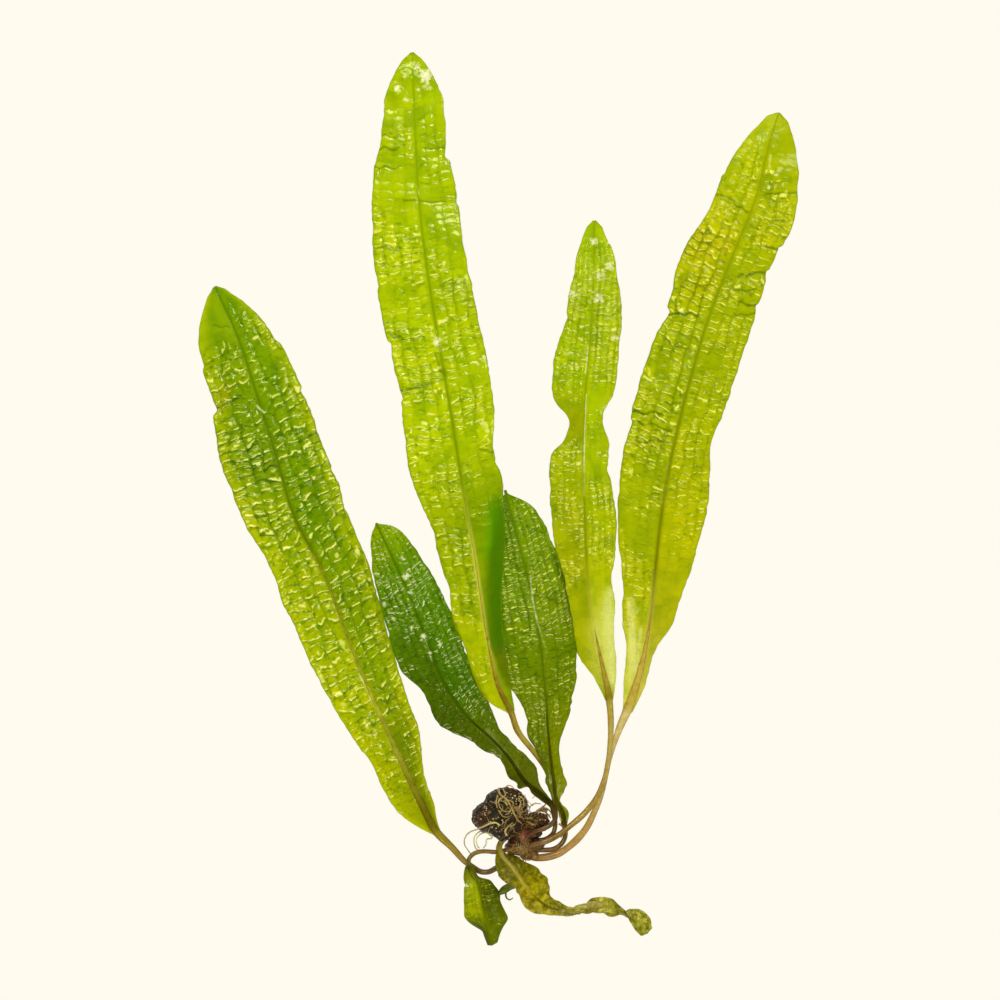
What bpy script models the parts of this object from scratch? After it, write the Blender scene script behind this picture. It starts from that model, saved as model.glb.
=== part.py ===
# Aponogeton: a bare-rooted water plant lying flat, with its tuber, crown, leaves and single roots.
# The origin is the middle of the tuber's flat underside. +Y runs along the longest leaf, +Z is up.
# Lengths in the tables are millimetres; every object is built in metres.
import math

import bmesh
import bpy
import numpy as np
from mathutils import Vector
from mathutils.bvhtree import BVHTree

mm = 0.001
gap = 0.3                # clear space left between two pieces that touch
ring_sides = 12          # points round a leaf's section: margin, five above, margin, five below
lamina_half = 0.35       # half thickness of a blade away from its rib
rib_spread = 1.6         # how far from the middle line the rib's bulge has faded
blend_length = 9.0       # the stretch over which a round stalk flattens into a blade
pleat = 0.3              # height of the coarse quilting of a blistered blade
margin_offset = 1.7      # how far, in radians, the waves of a blade's two margins are out of step
tip_crowding = 0.06      # how much closer the rings of a blade stand at its tip

# stalk: points from the crown to the blade. rib: points from the blade's base to its tip.
# stalk_radius and rib_half: (place along, value), as a share of the stalk and of the blade.
# left and right: (distance along the rib, half width), as seen from base to tip.
# left_lift and right_lift: (distance along the rib, height of that margin).
# ruffle: height, length and phase of the margin's waves. turn: (distance, degrees of twist).
leaves = {
    "leaf_far_left": {
        "colour": (0.20, 0.36, 0.01),
        "stalk": [(7.0, -10.5, 2.6), (4.0, -13.0, 1.6), (1.7, -15.4, 1.2), (-1.3, -17.6, 1.1),
                  (-4.0, -18.9, 1.1), (-6.7, -18.7, 1.1), (-9.0, -17.3, 1.15), (-11.3, -15.7, 1.2),
                  (-16.0, -10.7, 1.3)],
        "rib": [(-21.0, -5.7, 1.4), (-26.7, 5.0, 1.6), (-37.3, 27.7, 1.6), (-48.7, 53.7, 1.6),
                (-59.7, 82.7, 1.7), (-68.0, 98.3, 1.8), (-74.7, 120.0, 1.6), (-81.7, 142.3, 1.5),
                (-88.3, 161.7, 1.3), (-95.0, 176.0, 0.8)],
        "stalk_radius": [(0.0, 0.8), (0.6, 0.9), (1.0, 1.3)],
        "rib_half": [(0.0, 1.2), (0.5, 0.9), (1.0, 0.4)],
        "left": [(0, 1.3), (10, 7.5), (20, 9.2), (30, 9.3), (40, 11.5), (60, 13.8), (80, 15.5),
                 (90, 16.3), (108, 14.8), (118, 16.2), (138, 18.3), (150, 17.0), (160, 15.5), (177, 14.0),
                 (187, 10.2), (192, 6.5), (196.6, 0.5)],
        "right": [(0, 1.3), (10, 3.8), (20, 5.5), (30, 8.7), (50, 11.2), (70, 13.3), (90, 14.7),
                  (110, 16.5), (118, 17.7), (128, 16.8), (140, 15.7), (150, 15.7), (160, 14.5),
                  (168, 13.7), (177, 10.8), (187, 7.2), (193, 3.6), (196.6, 0.5)],
        "left_lift": [(0, 1.4), (20, 1.2), (196, 1.1)],
        "right_lift": [(0, 1.4), (20, 1.3), (55, 2.4), (70, 3.2), (95, 3.1), (115, 1.7), (196, 1.1)],
        "ruffle": (0.35, 21.0, 0.6),
        "rings": (13, 34),
        "pleated": True,
    },
    "leaf_tall": {
        "colour": (0.36, 0.52, 0.01),
        "stalk": [(7.5, -7.4, 5.8), (9.0, -6.7, 6.4), (12.0, -5.0, 7.0), (14.7, -4.0, 7.0),
                  (17.0, -2.7, 6.6), (18.4, -0.9, 5.4), (18.5, 0.9, 3.9), (18.3, 3.6, 2.1),
                  (17.2, 8.6, 1.1), (15.4, 15.0, 1.1), (11.3, 21.3, 1.2), (6.3, 28.3, 1.3)],
        "rib": [(3.7, 34.3, 1.4), (0.0, 41.7, 1.5), (-4.0, 58.3, 1.6), (-8.3, 85.0, 1.6),
                (-12.3, 108.3, 1.6), (-16.0, 131.7, 1.6), (-20.0, 155.0, 1.6), (-24.3, 181.7, 1.5),
                (-27.0, 205.0, 1.4), (-28.3, 228.3, 1.2), (-29.3, 254.0, 0.8)],
        "stalk_radius": [(0.0, 0.75), (0.5, 0.75), (1.0, 1.1)],
        "rib_half": [(0.0, 1.2), (0.5, 0.8), (1.0, 0.4)],
        "left": [(0, 1.1), (5, 4.4), (16, 7.5), (26, 8.5), (32, 10.3), (43, 9.9), (52, 11.4), (67, 12.7),
                 (78, 15.8), (100, 16.3), (111, 15.8), (134, 17.2), (145, 17.5), (167, 16.3), (190, 14.2),
                 (201, 12.3), (212, 9.5), (218.5, 5.5), (222.9, 0.5)],
        "right": [(0, 1.1), (5, 2.7), (11, 4.6), (22, 5.0), (33, 6.0), (45, 7.8), (56, 10.5), (67, 12.3),
                  (78, 13.6), (89, 12.2), (100, 14.2), (134, 14.3), (156, 13.2), (178, 12.5), (190, 11.0),
                  (201, 10.5), (212, 8.3), (218.5, 5.0), (222.9, 0.5)],
        "left_lift": [(0, 1.4), (30, 1.3), (222, 1.1)],
        "right_lift": [(0, 1.6), (12, 3.8), (30, 4.1), (60, 4.1), (80, 3.2), (100, 1.7), (120, 1.3),
                       (222, 1.2)],
        "ruffle": (0.35, 23.0, 2.2),
        "rings": (18, 36),
        "pleated": True,
    },
    "leaf_narrow": {
        "colour": (0.34, 0.48, 0.02),
        "stalk": [(7.5, -10.2, 5.6), (9.3, -10.0, 6.4), (12.0, -9.3, 7.0), (16.0, -8.0, 6.8),
                  (20.3, -5.7, 6.0), (23.7, -3.0, 5.2), (27.3, 0.0, 4.2), (30.2, 3.2, 3.7),
                  (32.8, 7.2, 3.4), (34.6, 11.5, 3.3), (36.0, 18.0, 3.3), (36.7, 24.5, 2.9),
                  (36.9, 31.0, 1.9)],
        "rib": [(36.4, 38.3, 1.5), (33.7, 51.7, 1.5), (31.0, 65.0, 1.5), (29.3, 78.3, 1.5),
                (28.3, 98.3, 1.6), (27.7, 118.3, 1.6), (28.3, 138.3, 1.6), (30.0, 158.3, 1.5),
                (31.0, 175.0, 1.3), (31.5, 198.0, 0.8)],
        "stalk_radius": [(0.0, 0.9), (0.4, 0.9), (0.75, 0.85), (1.0, 1.1)],
        "rib_half": [(0.0, 1.2), (0.5, 0.8), (1.0, 0.4)],
        "left": [(0, 1.3), (8, 3.5), (16, 6.7), (24, 7.8), (40, 8.7), (56, 10.7), (72, 11.3), (80, 10.8),
                 (87, 8.0), (93, 5.5), (98, 8.8), (104, 11.3), (112, 11.8), (120, 10.3), (128, 7.8),
                 (136, 6.7), (144, 6.7), (152, 5.2), (157, 3.0), (160.5, 0.5)],
        "right": [(0, 1.3), (8, 3.7), (16, 5.3), (24, 6.5), (32, 8.2), (40, 7.7), (48, 9.5), (72, 9.5),
                  (80, 8.2), (88, 8.4), (94, 6.0), (104, 9.4), (120, 9.9), (128, 10.0), (136, 9.2),
                  (144, 7.8), (152, 6.3), (157, 3.5), (160.5, 0.5)],
        "left_lift": [(0, 1.3), (10, 1.0), (60, 1.0), (160, 1.0)],
        "right_lift": [(0, 1.3), (30, 1.2), (160, 1.0)],
        "ruffle": (0.3, 17.0, 4.0),
        "rings": (15, 34),
        "pleated": True,
    },
    "leaf_far_right": {
        "colour": (0.35, 0.46, 0.01),
        "stalk": [(8.0, -13.0, 2.9), (12.0, -14.0, 2.4), (19.0, -12.9, 1.6), (24.4, -9.2, 1.3),
                  (28.7, -4.3, 1.2), (31.2, 0.6, 1.1), (33.6, 6.6, 1.1), (35.2, 13.0, 1.1),
                  (36.5, 19.0, 1.1), (38.2, 24.5, 1.2), (40.2, 30.0, 1.4)],
        "rib": [(42.3, 34.8, 1.7), (46.7, 48.3, 1.7), (50.0, 65.0, 1.7), (51.7, 81.7, 1.7),
                (54.0, 101.7, 1.7), (58.3, 125.0, 1.7), (63.3, 145.0, 1.7), (69.3, 165.0, 1.6),
                (78.3, 188.3, 1.5), (85.0, 205.0, 1.4), (89.3, 221.7, 1.2), (92.7, 234.0, 0.8)],
        "stalk_radius": [(0.0, 1.2), (0.35, 1.1), (0.6, 0.85), (0.8, 0.85), (1.0, 1.5)],
        "rib_half": [(0.0, 1.4), (0.5, 0.9), (1.0, 0.4)],
        "left": [(0, 1.5), (10, 4.5), (21, 6.3), (31, 9.5), (41, 10.0), (52, 12.2), (62, 14.0),
                 (72, 15.3), (103, 16.0), (124, 15.3), (134.5, 14.2), (145, 15.7), (155, 15.5),
                 (165.5, 13.7), (186, 11.8), (196.5, 8.3), (202, 5.0), (206.9, 0.5)],
        "right": [(0, 1.8), (10, 2.9), (21, 3.3), (31, 7.3), (41, 9.8), (52, 12.2), (62, 14.0),
                  (72, 14.7), (83, 13.8), (93, 11.9), (103, 13.5), (124, 14.5), (134.5, 14.7),
                  (155, 13.5), (176, 14.2), (186, 12.2), (196.5, 8.7), (202, 5.0), (206.9, 0.5)],
        "left_lift": [(0, 1.6), (30, 1.3), (206, 1.1)],
        "right_lift": [(0, 1.6), (30, 1.3), (206, 1.1)],
        "ruffle": (0.35, 20.0, 5.1),
        "rings": (14, 35),
        "pleated": True,
    },
    "leaf_short_left": {
        "colour": (0.07, 0.22, 0.01),
        "stalk": [(9.0, -8.6, 4.3), (12.0, -8.2, 4.2), (15.0, -7.9, 3.9), (17.6, -6.0, 3.2),
                  (18.4, -2.6, 2.3), (18.0, 0.0, 1.5)],
        "rib": [(17.3, 3.0, 1.1), (14.7, 6.0, 1.1), (8.0, 11.7, 1.3), (3.3, 18.7, 1.5), (-3.3, 26.0, 1.5),
                (-10.0, 32.0, 1.5), (-18.7, 44.3, 1.5), (-24.3, 58.0, 1.5), (-29.7, 72.0, 1.4),
                (-35.3, 84.7, 1.2), (-41.3, 97.3, 0.8)],
        "stalk_radius": [(0.0, 0.75), (0.5, 0.75), (1.0, 0.8)],
        "rib_half": [(0.0, 0.8), (0.2, 0.9), (1.0, 0.4)],
        "left": [(0, 0.8), (4, 1.6), (8, 1.8), (11.3, 1.5), (12.6, 3.7), (15.5, 3.2), (20, 2.9), (24, 3.0),
                 (28, 4.3), (36, 5.6), (40, 7.0), (44, 8.6), (52, 8.0), (57, 8.4), (61, 10.6), (66, 12.0),
                 (73, 11.6), (81, 11.0), (89, 10.0), (97, 8.4), (105, 5.5), (109, 3.6), (113, 0.5)],
        "right": [(0, 0.8), (4, 1.4), (8, 2.5), (12, 5.1), (16, 5.4), (20, 4.8), (24, 3.9), (28, 3.9),
                  (32, 4.9), (36, 7.2), (40, 8.6), (50, 10.1), (60, 10.6), (80, 10.6), (89, 9.5),
                  (97, 8.9), (105, 6.9), (109, 4.9), (113, 0.5)],
        "left_lift": [(0, 1.1), (20, 1.0), (60, 0.9), (113, 0.9)],
        "right_lift": [(0, 1.1), (20, 1.0), (113, 0.9)],
        "ruffle": (0.15, 15.0, 1.0),
        "rings": (8, 26),
        "extra_rings": [11.3, 12.6, 14.5],
        "pleated": True,
    },
    "leaf_short_middle": {
        "colour": (0.16, 0.30, 0.01),
        "stalk": [(9.0, -10.6, 4.3), (12.0, -11.2, 4.3), (14.7, -11.4, 4.2), (18.0, -11.0, 4.0),
                  (20.2, -9.6, 3.7), (21.5, -7.6, 3.3), (21.8, -5.8, 3.2)],
        "rib": [(21.4, -3.4, 3.6), (20.8, 1.0, 4.7), (18.9, 4.6, 5.2), (17.8, 11.7, 3.7),
                (16.3, 25.0, 2.2), (15.3, 38.3, 1.8), (13.7, 55.0, 1.7), (11.0, 71.7, 1.6),
                (7.7, 85.0, 1.5), (4.3, 98.3, 1.3), (1.7, 108.3, 0.8)],
        "stalk_radius": [(0.0, 0.75), (0.7, 0.75), (1.0, 0.8)],
        "rib_half": [(0.0, 0.8), (0.2, 0.9), (1.0, 0.4)],
        "left": [(0, 0.9), (4, 1.3), (8, 0.9), (12, 1.8), (15, 2.4), (18.5, 2.2), (22, 3.3), (27, 5.0),
                 (31, 6.8), (37, 7.0), (43.5, 9.0), (50, 11.3), (64, 13.3), (77, 12.5), (90.5, 10.0),
                 (104, 6.6), (110, 4.0), (113, 0.5)],
        "right": [(0, 0.9), (4, 1.9), (8, 1.2), (12, 2.8), (15, 4.0), (18.5, 3.8), (27, 3.4), (31, 4.2),
                  (37, 7.2), (43.5, 9.0), (57, 11.2), (75, 11.8), (90, 11.2), (98, 10.4), (103.5, 8.9),
                  (109, 5.4), (113, 0.5)],
        "left_lift": [(0, 3.6), (4, 4.7), (8, 5.2), (15, 4.0), (25, 2.6), (35, 1.6), (45, 1.1),
                      (113, 1.0)],
        "right_lift": [(0, 3.6), (4, 4.7), (8, 5.2), (15, 3.8), (25, 2.8), (38, 3.0), (75, 3.1),
                       (95, 1.6), (113, 1.0)],
        "ruffle": (0.1, 15.0, 3.0),
        "rings": (8, 26),
        "pleated": True,
    },
    "leaf_withered": {
        "colour": (0.30, 0.28, 0.02),
        "stalk": [(2.2, -7.0, 4.8)],
        "rib": [(0.6, -8.4, 5.0), (-0.2, -10.2, 5.0), (0.3, -12.4, 4.8), (3.7, -16.7, 3.8),
                (7.3, -22.0, 2.2), (11.7, -27.2, 1.5), (16.3, -30.6, 1.9), (21.7, -31.6, 2.8),
                (26.7, -31.3, 3.1), (32.0, -29.8, 2.2), (37.5, -31.0, 1.6), (42.0, -32.8, 2.4),
                (45.6, -34.9, 1.8), (49.0, -39.4, 1.3)],
        "stalk_radius": [(0.0, 0.9), (1.0, 0.9)],
        "rib_half": [(0.0, 0.9), (0.4, 0.6), (1.0, 0.4)],
        "left": [(0, 0.9), (4, 1.1), (6.5, 2.0), (9.5, 3.4), (11.5, 4.8), (13, 6.2), (16, 7.8), (19, 7.8),
                 (22.7, 6.4), (25.5, 5.0), (28.4, 3.6), (34, 2.4), (39, 1.9), (44.4, 2.6), (50, 2.9),
                 (54.8, 1.5), (58.9, 3.4), (62.5, 3.4), (64.5, 1.0)],
        "right": [(0, 0.9), (4, 1.5), (6.5, 3.6), (9.5, 5.2), (13, 4.6), (15.9, 3.2), (19, 3.7),
                  (22.7, 4.6), (25.5, 4.4), (28.4, 3.2), (34, 2.0), (39, 1.9), (44.4, 2.6), (50, 2.9),
                  (54.8, 1.5), (58.9, 1.8), (62.5, 2.0), (64.5, 1.0)],
        "left_lift": [(0, 5.0), (4, 4.8), (6.5, 3.8), (9.5, 2.6), (11.5, 1.8), (13, 1.1), (16, 0.9),
                      (24, 0.9), (30, 1.9), (39, 3.1), (46, 2.0), (54.8, 2.4), (63.7, 1.2)],
        "right_lift": [(0, 5.0), (4, 4.5), (6.5, 4.1), (9.5, 3.4), (13, 2.8), (16, 2.2), (20, 1.5),
                       (24, 1.0), (30, 1.9), (39, 3.1), (46, 2.0), (54.8, 2.4), (63.7, 1.2)],
        "ruffle": (0.0, 10.0, 0.0),
        "turn": [(0, 0), (12, 0), (24, 2), (28.4, 9), (34, 45), (39, 80), (42, 130), (45, 165), (50, 180),
                 (53, 225), (54.8, 265), (57, 315), (59.5, 345), (64.5, 360)],
        "rings": (2, 27),
        "pleated": False,
        "meets_tuber": True,
    },
    "leaf_folded": {
        "colour": (0.16, 0.33, 0.01),
        "stalk": [(3.4, -10.4, 2.4), (1.2, -11.8, 2.2), (-1.3, -12.2, 2.2), (-4.0, -12.0, 2.3),
                  (-6.3, -12.0, 2.6), (-8.7, -12.7, 3.0), (-10.3, -14.4, 3.6)],
        "rib": [(-10.3, -16.6, 3.9), (-9.4, -19.5, 3.7), (-7.9, -22.0, 3.4), (-6.8, -26.0, 3.2),
                (-6.0, -30.0, 3.2), (-4.9, -35.5, 2.9), (-2.6, -43.4, 2.3)],
        "stalk_radius": [(0.0, 0.65), (1.0, 0.7)],
        "rib_half": [(0.0, 0.7), (1.0, 0.5)],
        "left": [(0, 1.1), (3, 1.6), (5.6, 2.0), (7, 4.8), (8.5, 6.0), (11, 7.0), (15, 6.9), (19, 7.6),
                 (23.5, 4.6), (27.6, 1.6)],
        "right": [(0, 1.2), (3, 3.0), (9.6, 5.3), (14, 6.0), (18, 6.2), (19.5, 5.6), (23.5, 1.9),
                  (27.6, 1.0)],
        "left_lift": [(0, 3.9), (3, 3.5), (5, 3.1), (9, 1.3), (27, 1.0)],
        "right_lift": [(0, 3.9), (3, 3.4), (5, 2.8), (9, 1.3), (27, 1.0)],
        "ruffle": (0.0, 10.0, 0.0),
        "rings": (8, 12),
        "pleated": False,
    },
}

# Tuber: the radius of its outline seen from above, by direction, about its middle.
tuber_middle = (0.3, 0.8)
tuber_outline = [(0, 8.7), (22, 9.4), (45, 9.5), (72, 8.9), (94, 8.2), (125, 7.5), (154, 7.3), (174, 9.0),
                 (189, 9.7), (206, 9.2), (220, 8.6), (237, 7.3), (255, 7.8), (274, 8.8), (300, 8.4),
                 (330, 8.4)]
tuber_height = 14.0
tuber_sunk = 0.9         # how much of the round underside is pressed flat
tuber_lump = 0.45
tuber_shoulder = 0.8     # 1 is a round side, less is a squarer one
lobe_middle = (12.3, -2.2, 3.1)
lobe_radii = (4.4, 3.4, 2.5)
crown_middle = (7.0, -8.8, 4.6)
crown_radii = (4.4, 4.4, 3.9)
crown_lump = 0.3

# Roots: points seen from above with a height, or None where the strand lies on the tuber.
root_radius = 0.32
roots = {
    "root_top": [(-0.8, 8.9, 9.2), (-0.2, 7.6, None), (1.0, 6.3, None), (3.3, 3.7, None),
                 (4.7, 1.0, None), (6.4, -1.6, None)],
    "root_side": [(-0.9, 6.6, None), (-1.4, 3.6, None), (0.2, 1.2, None), (2.6, 0.2, None)],
    "root_hook": [(1.2, -6.2, None), (1.2, -4.4, None), (2.6, -2.6, None), (4.9, -1.5, None)],
    "root_long": [(-0.3, -2.3, None), (-2.7, -1.9, None), (-5.3, -3.3, None), (-8.6, -4.8, 8.2),
                  (-10.9, -6.7, 5.6), (-11.8, -9.1, 3.0), (-11.3, -11.4, 0.9), (-10.0, -12.6, 0.6)],
    "root_loop": [(-2.8, -7.6, 2.6), (-4.6, -6.6, 2.2), (-6.7, -6.4, 1.6), (-8.3, -7.9, 0.9),
                  (-8.3, -9.9, 0.6), (-6.6, -10.9, 0.6), (-5.2, -10.6, 0.6)],
    "root_low": [(-2.2, -8.6, 1.3), (-4.2, -8.1, 0.9), (-5.4, -8.6, 0.6), (-5.6, -9.6, 0.6)],
    "root_crest": [(2.0, 9.8, 7.5), (2.6, 10.7, 8.0), (4.2, 10.8, 8.0), (5.4, 9.9, 7.5)],
    "root_right": [(7.0, 6.2, None), (7.9, 4.9, None), (8.2, 3.2, None), (8.0, 1.6, None),
                   (7.7, 0.4, None)],
    "root_coil": [(4.9, 6.2, None), (6.4, 5.0, None), (6.8, 3.2, None), (5.7, 1.9, None)],
    "root_arch": [(15.6, 1.6, 4.4), (13.9, 3.4, 4.2), (12.0, 4.0, 3.6), (10.6, 3.2, 3.0)],
    "root_brown": [(16.0, 1.4, 2.6), (14.6, 2.4, 2.4), (13.6, 1.8, 1.6)],
}

# Sprout: a dark stub under the withered leaf, with a thin hook.
sprout_stub = [(3.7, -24.2, 0.95), (2.6, -24.2, 1.0), (1.4, -24.6, 1.0), (0.4, -25.1, 0.95)]
sprout_hook = [(1.8, -24.6, 1.0), (1.7, -26.2, 0.7), (2.5, -27.5, 0.6), (4.3, -27.5, 0.6)]
sprout_radius = 0.85
hook_radius = 0.35

tuber_colour = (0.045, 0.026, 0.022)
crown_colour = (0.16, 0.07, 0.06)
root_colour = (0.55, 0.45, 0.26)
sprout_colour = (0.04, 0.08, 0.01)


def clear_scene():
    for thing in list(bpy.data.objects):
        bpy.data.objects.remove(thing, do_unlink=True)


def new_collection(name):
    collection = bpy.data.collections.new(name)
    bpy.context.scene.collection.children.link(collection)
    return collection


def new_material(name, colour, roughness):
    material = bpy.data.materials.new(name)
    material.use_nodes = True
    shader = material.node_tree.nodes["Principled BSDF"]
    shader.inputs["Base Color"].default_value = (*colour, 1.0)
    shader.inputs["Roughness"].default_value = roughness
    shader.inputs["Metallic"].default_value = 0.0
    return material


def flow(knots, values, at):
    """A smooth curve through the values at the knots, read at the places in at."""
    knots = np.asarray(knots, float)
    values = np.asarray(values, float)
    at = np.clip(np.asarray(at, float), knots[0], knots[-1])
    slopes = np.gradient(values, knots, axis=0)
    first = np.clip(np.searchsorted(knots, at, side="right") - 1, 0, len(knots) - 2)
    span = knots[first + 1] - knots[first]
    share = (at - knots[first]) / span
    if values.ndim > 1:
        span = span[:, None]
        share = share[:, None]
    start = (1 + 2 * share) * (1 - share) ** 2 * values[first]
    end = share ** 2 * (3 - 2 * share) * values[first + 1]
    bend = share * (1 - share) * span * ((1 - share) * slopes[first] - share * slopes[first + 1])
    return start + end + bend


def table(pairs, at):
    """A smooth curve through (place, value) pairs."""
    return flow([pair[0] for pair in pairs], [pair[1] for pair in pairs], at)


def along(points):
    """The distance from the first point to each point, along the straight runs between them."""
    steps = np.linalg.norm(np.diff(np.asarray(points, float), axis=0), axis=1)
    return np.concatenate([[0.0], np.cumsum(steps)])


def sweep_frame(centre, turn):
    """Unit vectors to the left and upwards at each point of a path, turned about it by degrees."""
    ahead = np.gradient(centre, axis=0)
    ahead /= np.linalg.norm(ahead, axis=1, keepdims=True)
    left = np.cross(np.array([0.0, 0.0, 1.0]), ahead)
    left /= np.linalg.norm(left, axis=1, keepdims=True)
    upward = np.cross(ahead, left)
    angle = np.radians(turn)[:, None]
    turned_left = left * np.cos(angle) + upward * np.sin(angle)
    turned_up = upward * np.cos(angle) - left * np.sin(angle)
    return turned_left, turned_up


def leaf_sections(leaf):
    """The points of every ring of a leaf, from the crown end of its stalk to the tip of its blade."""
    path = leaf["stalk"] + leaf["rib"]
    knots = along(path)
    base = knots[len(leaf["stalk"])]
    end = knots[-1]
    stalk_rings, blade_rings = leaf["rings"]
    stalk_at = np.linspace(0.0, base, stalk_rings, endpoint=False)
    even = np.linspace(0.0, 1.0, blade_rings)
    blade_at = base + (end - base) * (even * (1 + tip_crowding) - tip_crowding * even ** 8)
    at = np.sort(np.concatenate([stalk_at, blade_at, base + np.array(leaf.get("extra_rings", []))]))
    centre = flow(knots, path, at)
    on_blade = at - base
    share = np.clip(on_blade / (end - base), 0.0, 1.0)
    turn = table(leaf["turn"], on_blade) if "turn" in leaf else np.zeros(len(at))
    left, upward = sweep_frame(centre, turn)
    flatness = np.clip(on_blade / blend_length, 0.0, 1.0)
    flatness = flatness ** 2 * (3 - 2 * flatness)
    radius = table(leaf["stalk_radius"], np.clip(at / base, 0.0, 1.0))
    rib_half = table(leaf["rib_half"], share)
    wave_height, wave_length, phase = leaf["ruffle"]
    angles = np.arange(ring_sides) * 2 * math.pi / ring_sides
    sections = []
    for ring, place in enumerate(on_blade):
        points = []
        for angle in angles:
            across = math.cos(angle)
            up = math.sin(angle)
            side = "left" if across > 0 else "right"
            width = float(table(leaf[side], [place])[0])
            margin = float(table(leaf[side + "_lift"], [place])[0]) - centre[ring][2]
            margin = margin * math.cos(math.radians(turn[ring]))
            step = margin_offset if across > 0 else 0.0
            wave = wave_height * math.sin(2 * math.pi * place / wave_length + phase + step)
            bulge = math.exp(-((width * across / rib_spread) ** 2))
            half = lamina_half + max(rib_half[ring] - lamina_half, 0.0) * bulge
            quilting = pleat * (-1) ** ring * math.sin(2 * math.pi * abs(across)) if leaf["pleated"] else 0.0
            middle = (margin + wave) * across ** 2 + quilting * math.copysign(1.0, across)
            blade_up = middle + half * min(1.0, abs(up) * 2) * math.copysign(1.0, up) * (abs(up) > 0.01)
            fit = flatness[ring]
            sideways = radius[ring] * across * (1 - fit) + width * across * fit
            rise = radius[ring] * up * (1 - fit) + blade_up * fit
            point = centre[ring] + left[ring] * sideways
            point = point + upward[ring] * rise
            points.append(point)
        sections.append(points)
    return sections


def loft(sections):
    """A closed tube mesh through rings of points: a capped cylinder, cut lengthwise and moved into place."""
    rings = len(sections)
    mesh = bmesh.new()
    bmesh.ops.create_cone(mesh, cap_ends=True, segments=ring_sides, radius1=1.0, radius2=1.0, depth=1.0)
    lengthwise = [edge for edge in mesh.edges if abs(edge.verts[0].co.z - edge.verts[1].co.z) > 0.5]
    bmesh.ops.subdivide_edges(mesh, edges=lengthwise, cuts=rings - 2)
    for vertex in mesh.verts:
        ring = round((vertex.co.z + 0.5) * (rings - 1))
        step = round(math.atan2(vertex.co.y, vertex.co.x) / (2 * math.pi) * ring_sides) % ring_sides
        vertex.co = Vector(sections[ring][step]) * mm
    return mesh


def add_object(name, mesh, material, collection):
    data = bpy.data.meshes.new(name)
    mesh.to_mesh(data)
    mesh.free()
    data.shade_smooth()
    data.set_sharp_from_angle(angle=math.radians(50))
    thing = bpy.data.objects.new(name, data)
    data.materials.append(material)
    collection.objects.link(thing)
    return thing


def add_boolean(thing, other, operation):
    modifier = thing.modifiers.new(operation.title(), "BOOLEAN")
    modifier.operation = operation
    modifier.object = other
    modifier.solver = "EXACT"


def as_cutter(thing):
    thing.hide_render = True
    thing.display_type = "WIRE"


def ball(columns, rows):
    mesh = bmesh.new()
    bmesh.ops.create_uvsphere(mesh, u_segments=columns, v_segments=rows, radius=1.0)
    return mesh


def uneven(x, y, z):
    """A gentle unevenness between about -1.5 and 1.5, by direction from a lump's middle."""
    coarse = math.sin(4.1 * x + 2.2 * z + 0.6) * math.sin(3.7 * y - 1.4 * z)
    fine = 0.5 * math.sin(6.3 * z + 2.9 * x - 4.4 * y)
    return coarse + fine


def tuber_mesh(grow):
    """The tuber's main lump, grown outwards by a distance in millimetres and flat underneath."""
    mesh = ball(22, 14)
    directions = [pair[0] for pair in tuber_outline] + [360]
    radii = [pair[1] for pair in tuber_outline] + [tuber_outline[0][1]]
    half = tuber_height / 2
    for vertex in mesh.verts:
        x, y, z = vertex.co
        heading = math.degrees(math.atan2(y, x)) % 360
        reach = float(flow(directions, radii, [heading])[0])
        lump = tuber_lump * uneven(x, y, z)
        level = max(math.hypot(x, y), 0.001)
        outward = (reach + grow + lump) * level ** (tuber_shoulder - 1)
        vertex.co = Vector((
            tuber_middle[0] + x * outward,
            tuber_middle[1] + y * outward,
            half - tuber_sunk + z * (half + grow + lump),
        )) * mm
    if grow == 0.0:
        flatten_underside(mesh)
    return mesh


def flatten_underside(mesh):
    """Cuts a mesh off level at the ground and closes it with one flat face."""
    whole = list(mesh.verts) + list(mesh.edges) + list(mesh.faces)
    bmesh.ops.bisect_plane(mesh, geom=whole, plane_co=(0, 0, 0), plane_no=(0, 0, 1), clear_inner=True)
    rim = [edge for edge in mesh.edges if edge.is_boundary]
    bmesh.ops.holes_fill(mesh, edges=rim, sides=0)
    bmesh.ops.recalc_face_normals(mesh, faces=mesh.faces)


def lumpy_ball(middle, radii, lump, grow, columns, rows):
    mesh = ball(columns, rows)
    for vertex in mesh.verts:
        bump = lump * uneven(*vertex.co)
        vertex.co = Vector([
            middle[axis] + vertex.co[axis] * (radii[axis] + grow + bump) for axis in range(3)
        ]) * mm
    return mesh


def make_tuber(parts, cutters):
    material = new_material("tuber", tuber_colour, 0.7)
    tuber = add_object("tuber", tuber_mesh(0.0), material, parts)
    lobe_mesh = lumpy_ball(lobe_middle, lobe_radii, tuber_lump, 0.0, 14, 8)
    lobe = add_object("tuber_lobe", lobe_mesh, material, cutters)
    as_cutter(lobe)
    add_boolean(tuber, lobe, "UNION")
    clearance = add_object("tuber_clearance", tuber_mesh(gap), material, cutters)
    wider_mesh = lumpy_ball(lobe_middle, lobe_radii, tuber_lump, gap, 14, 8)
    wider_lobe = add_object("lobe_clearance", wider_mesh, material, cutters)
    as_cutter(clearance)
    as_cutter(wider_lobe)
    add_boolean(clearance, wider_lobe, "UNION")
    return tuber, clearance


def make_crown(parts, cutters, tuber_clearance):
    material = new_material("crown", crown_colour, 0.6)
    crown_mesh = lumpy_ball(crown_middle, crown_radii, crown_lump, 0.0, 16, 10)
    crown = add_object("crown", crown_mesh, material, parts)
    add_boolean(crown, tuber_clearance, "DIFFERENCE")
    wider_mesh = lumpy_ball(crown_middle, crown_radii, crown_lump, gap, 16, 10)
    clearance = add_object("crown_clearance", wider_mesh, material, cutters)
    as_cutter(clearance)
    return clearance


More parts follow.
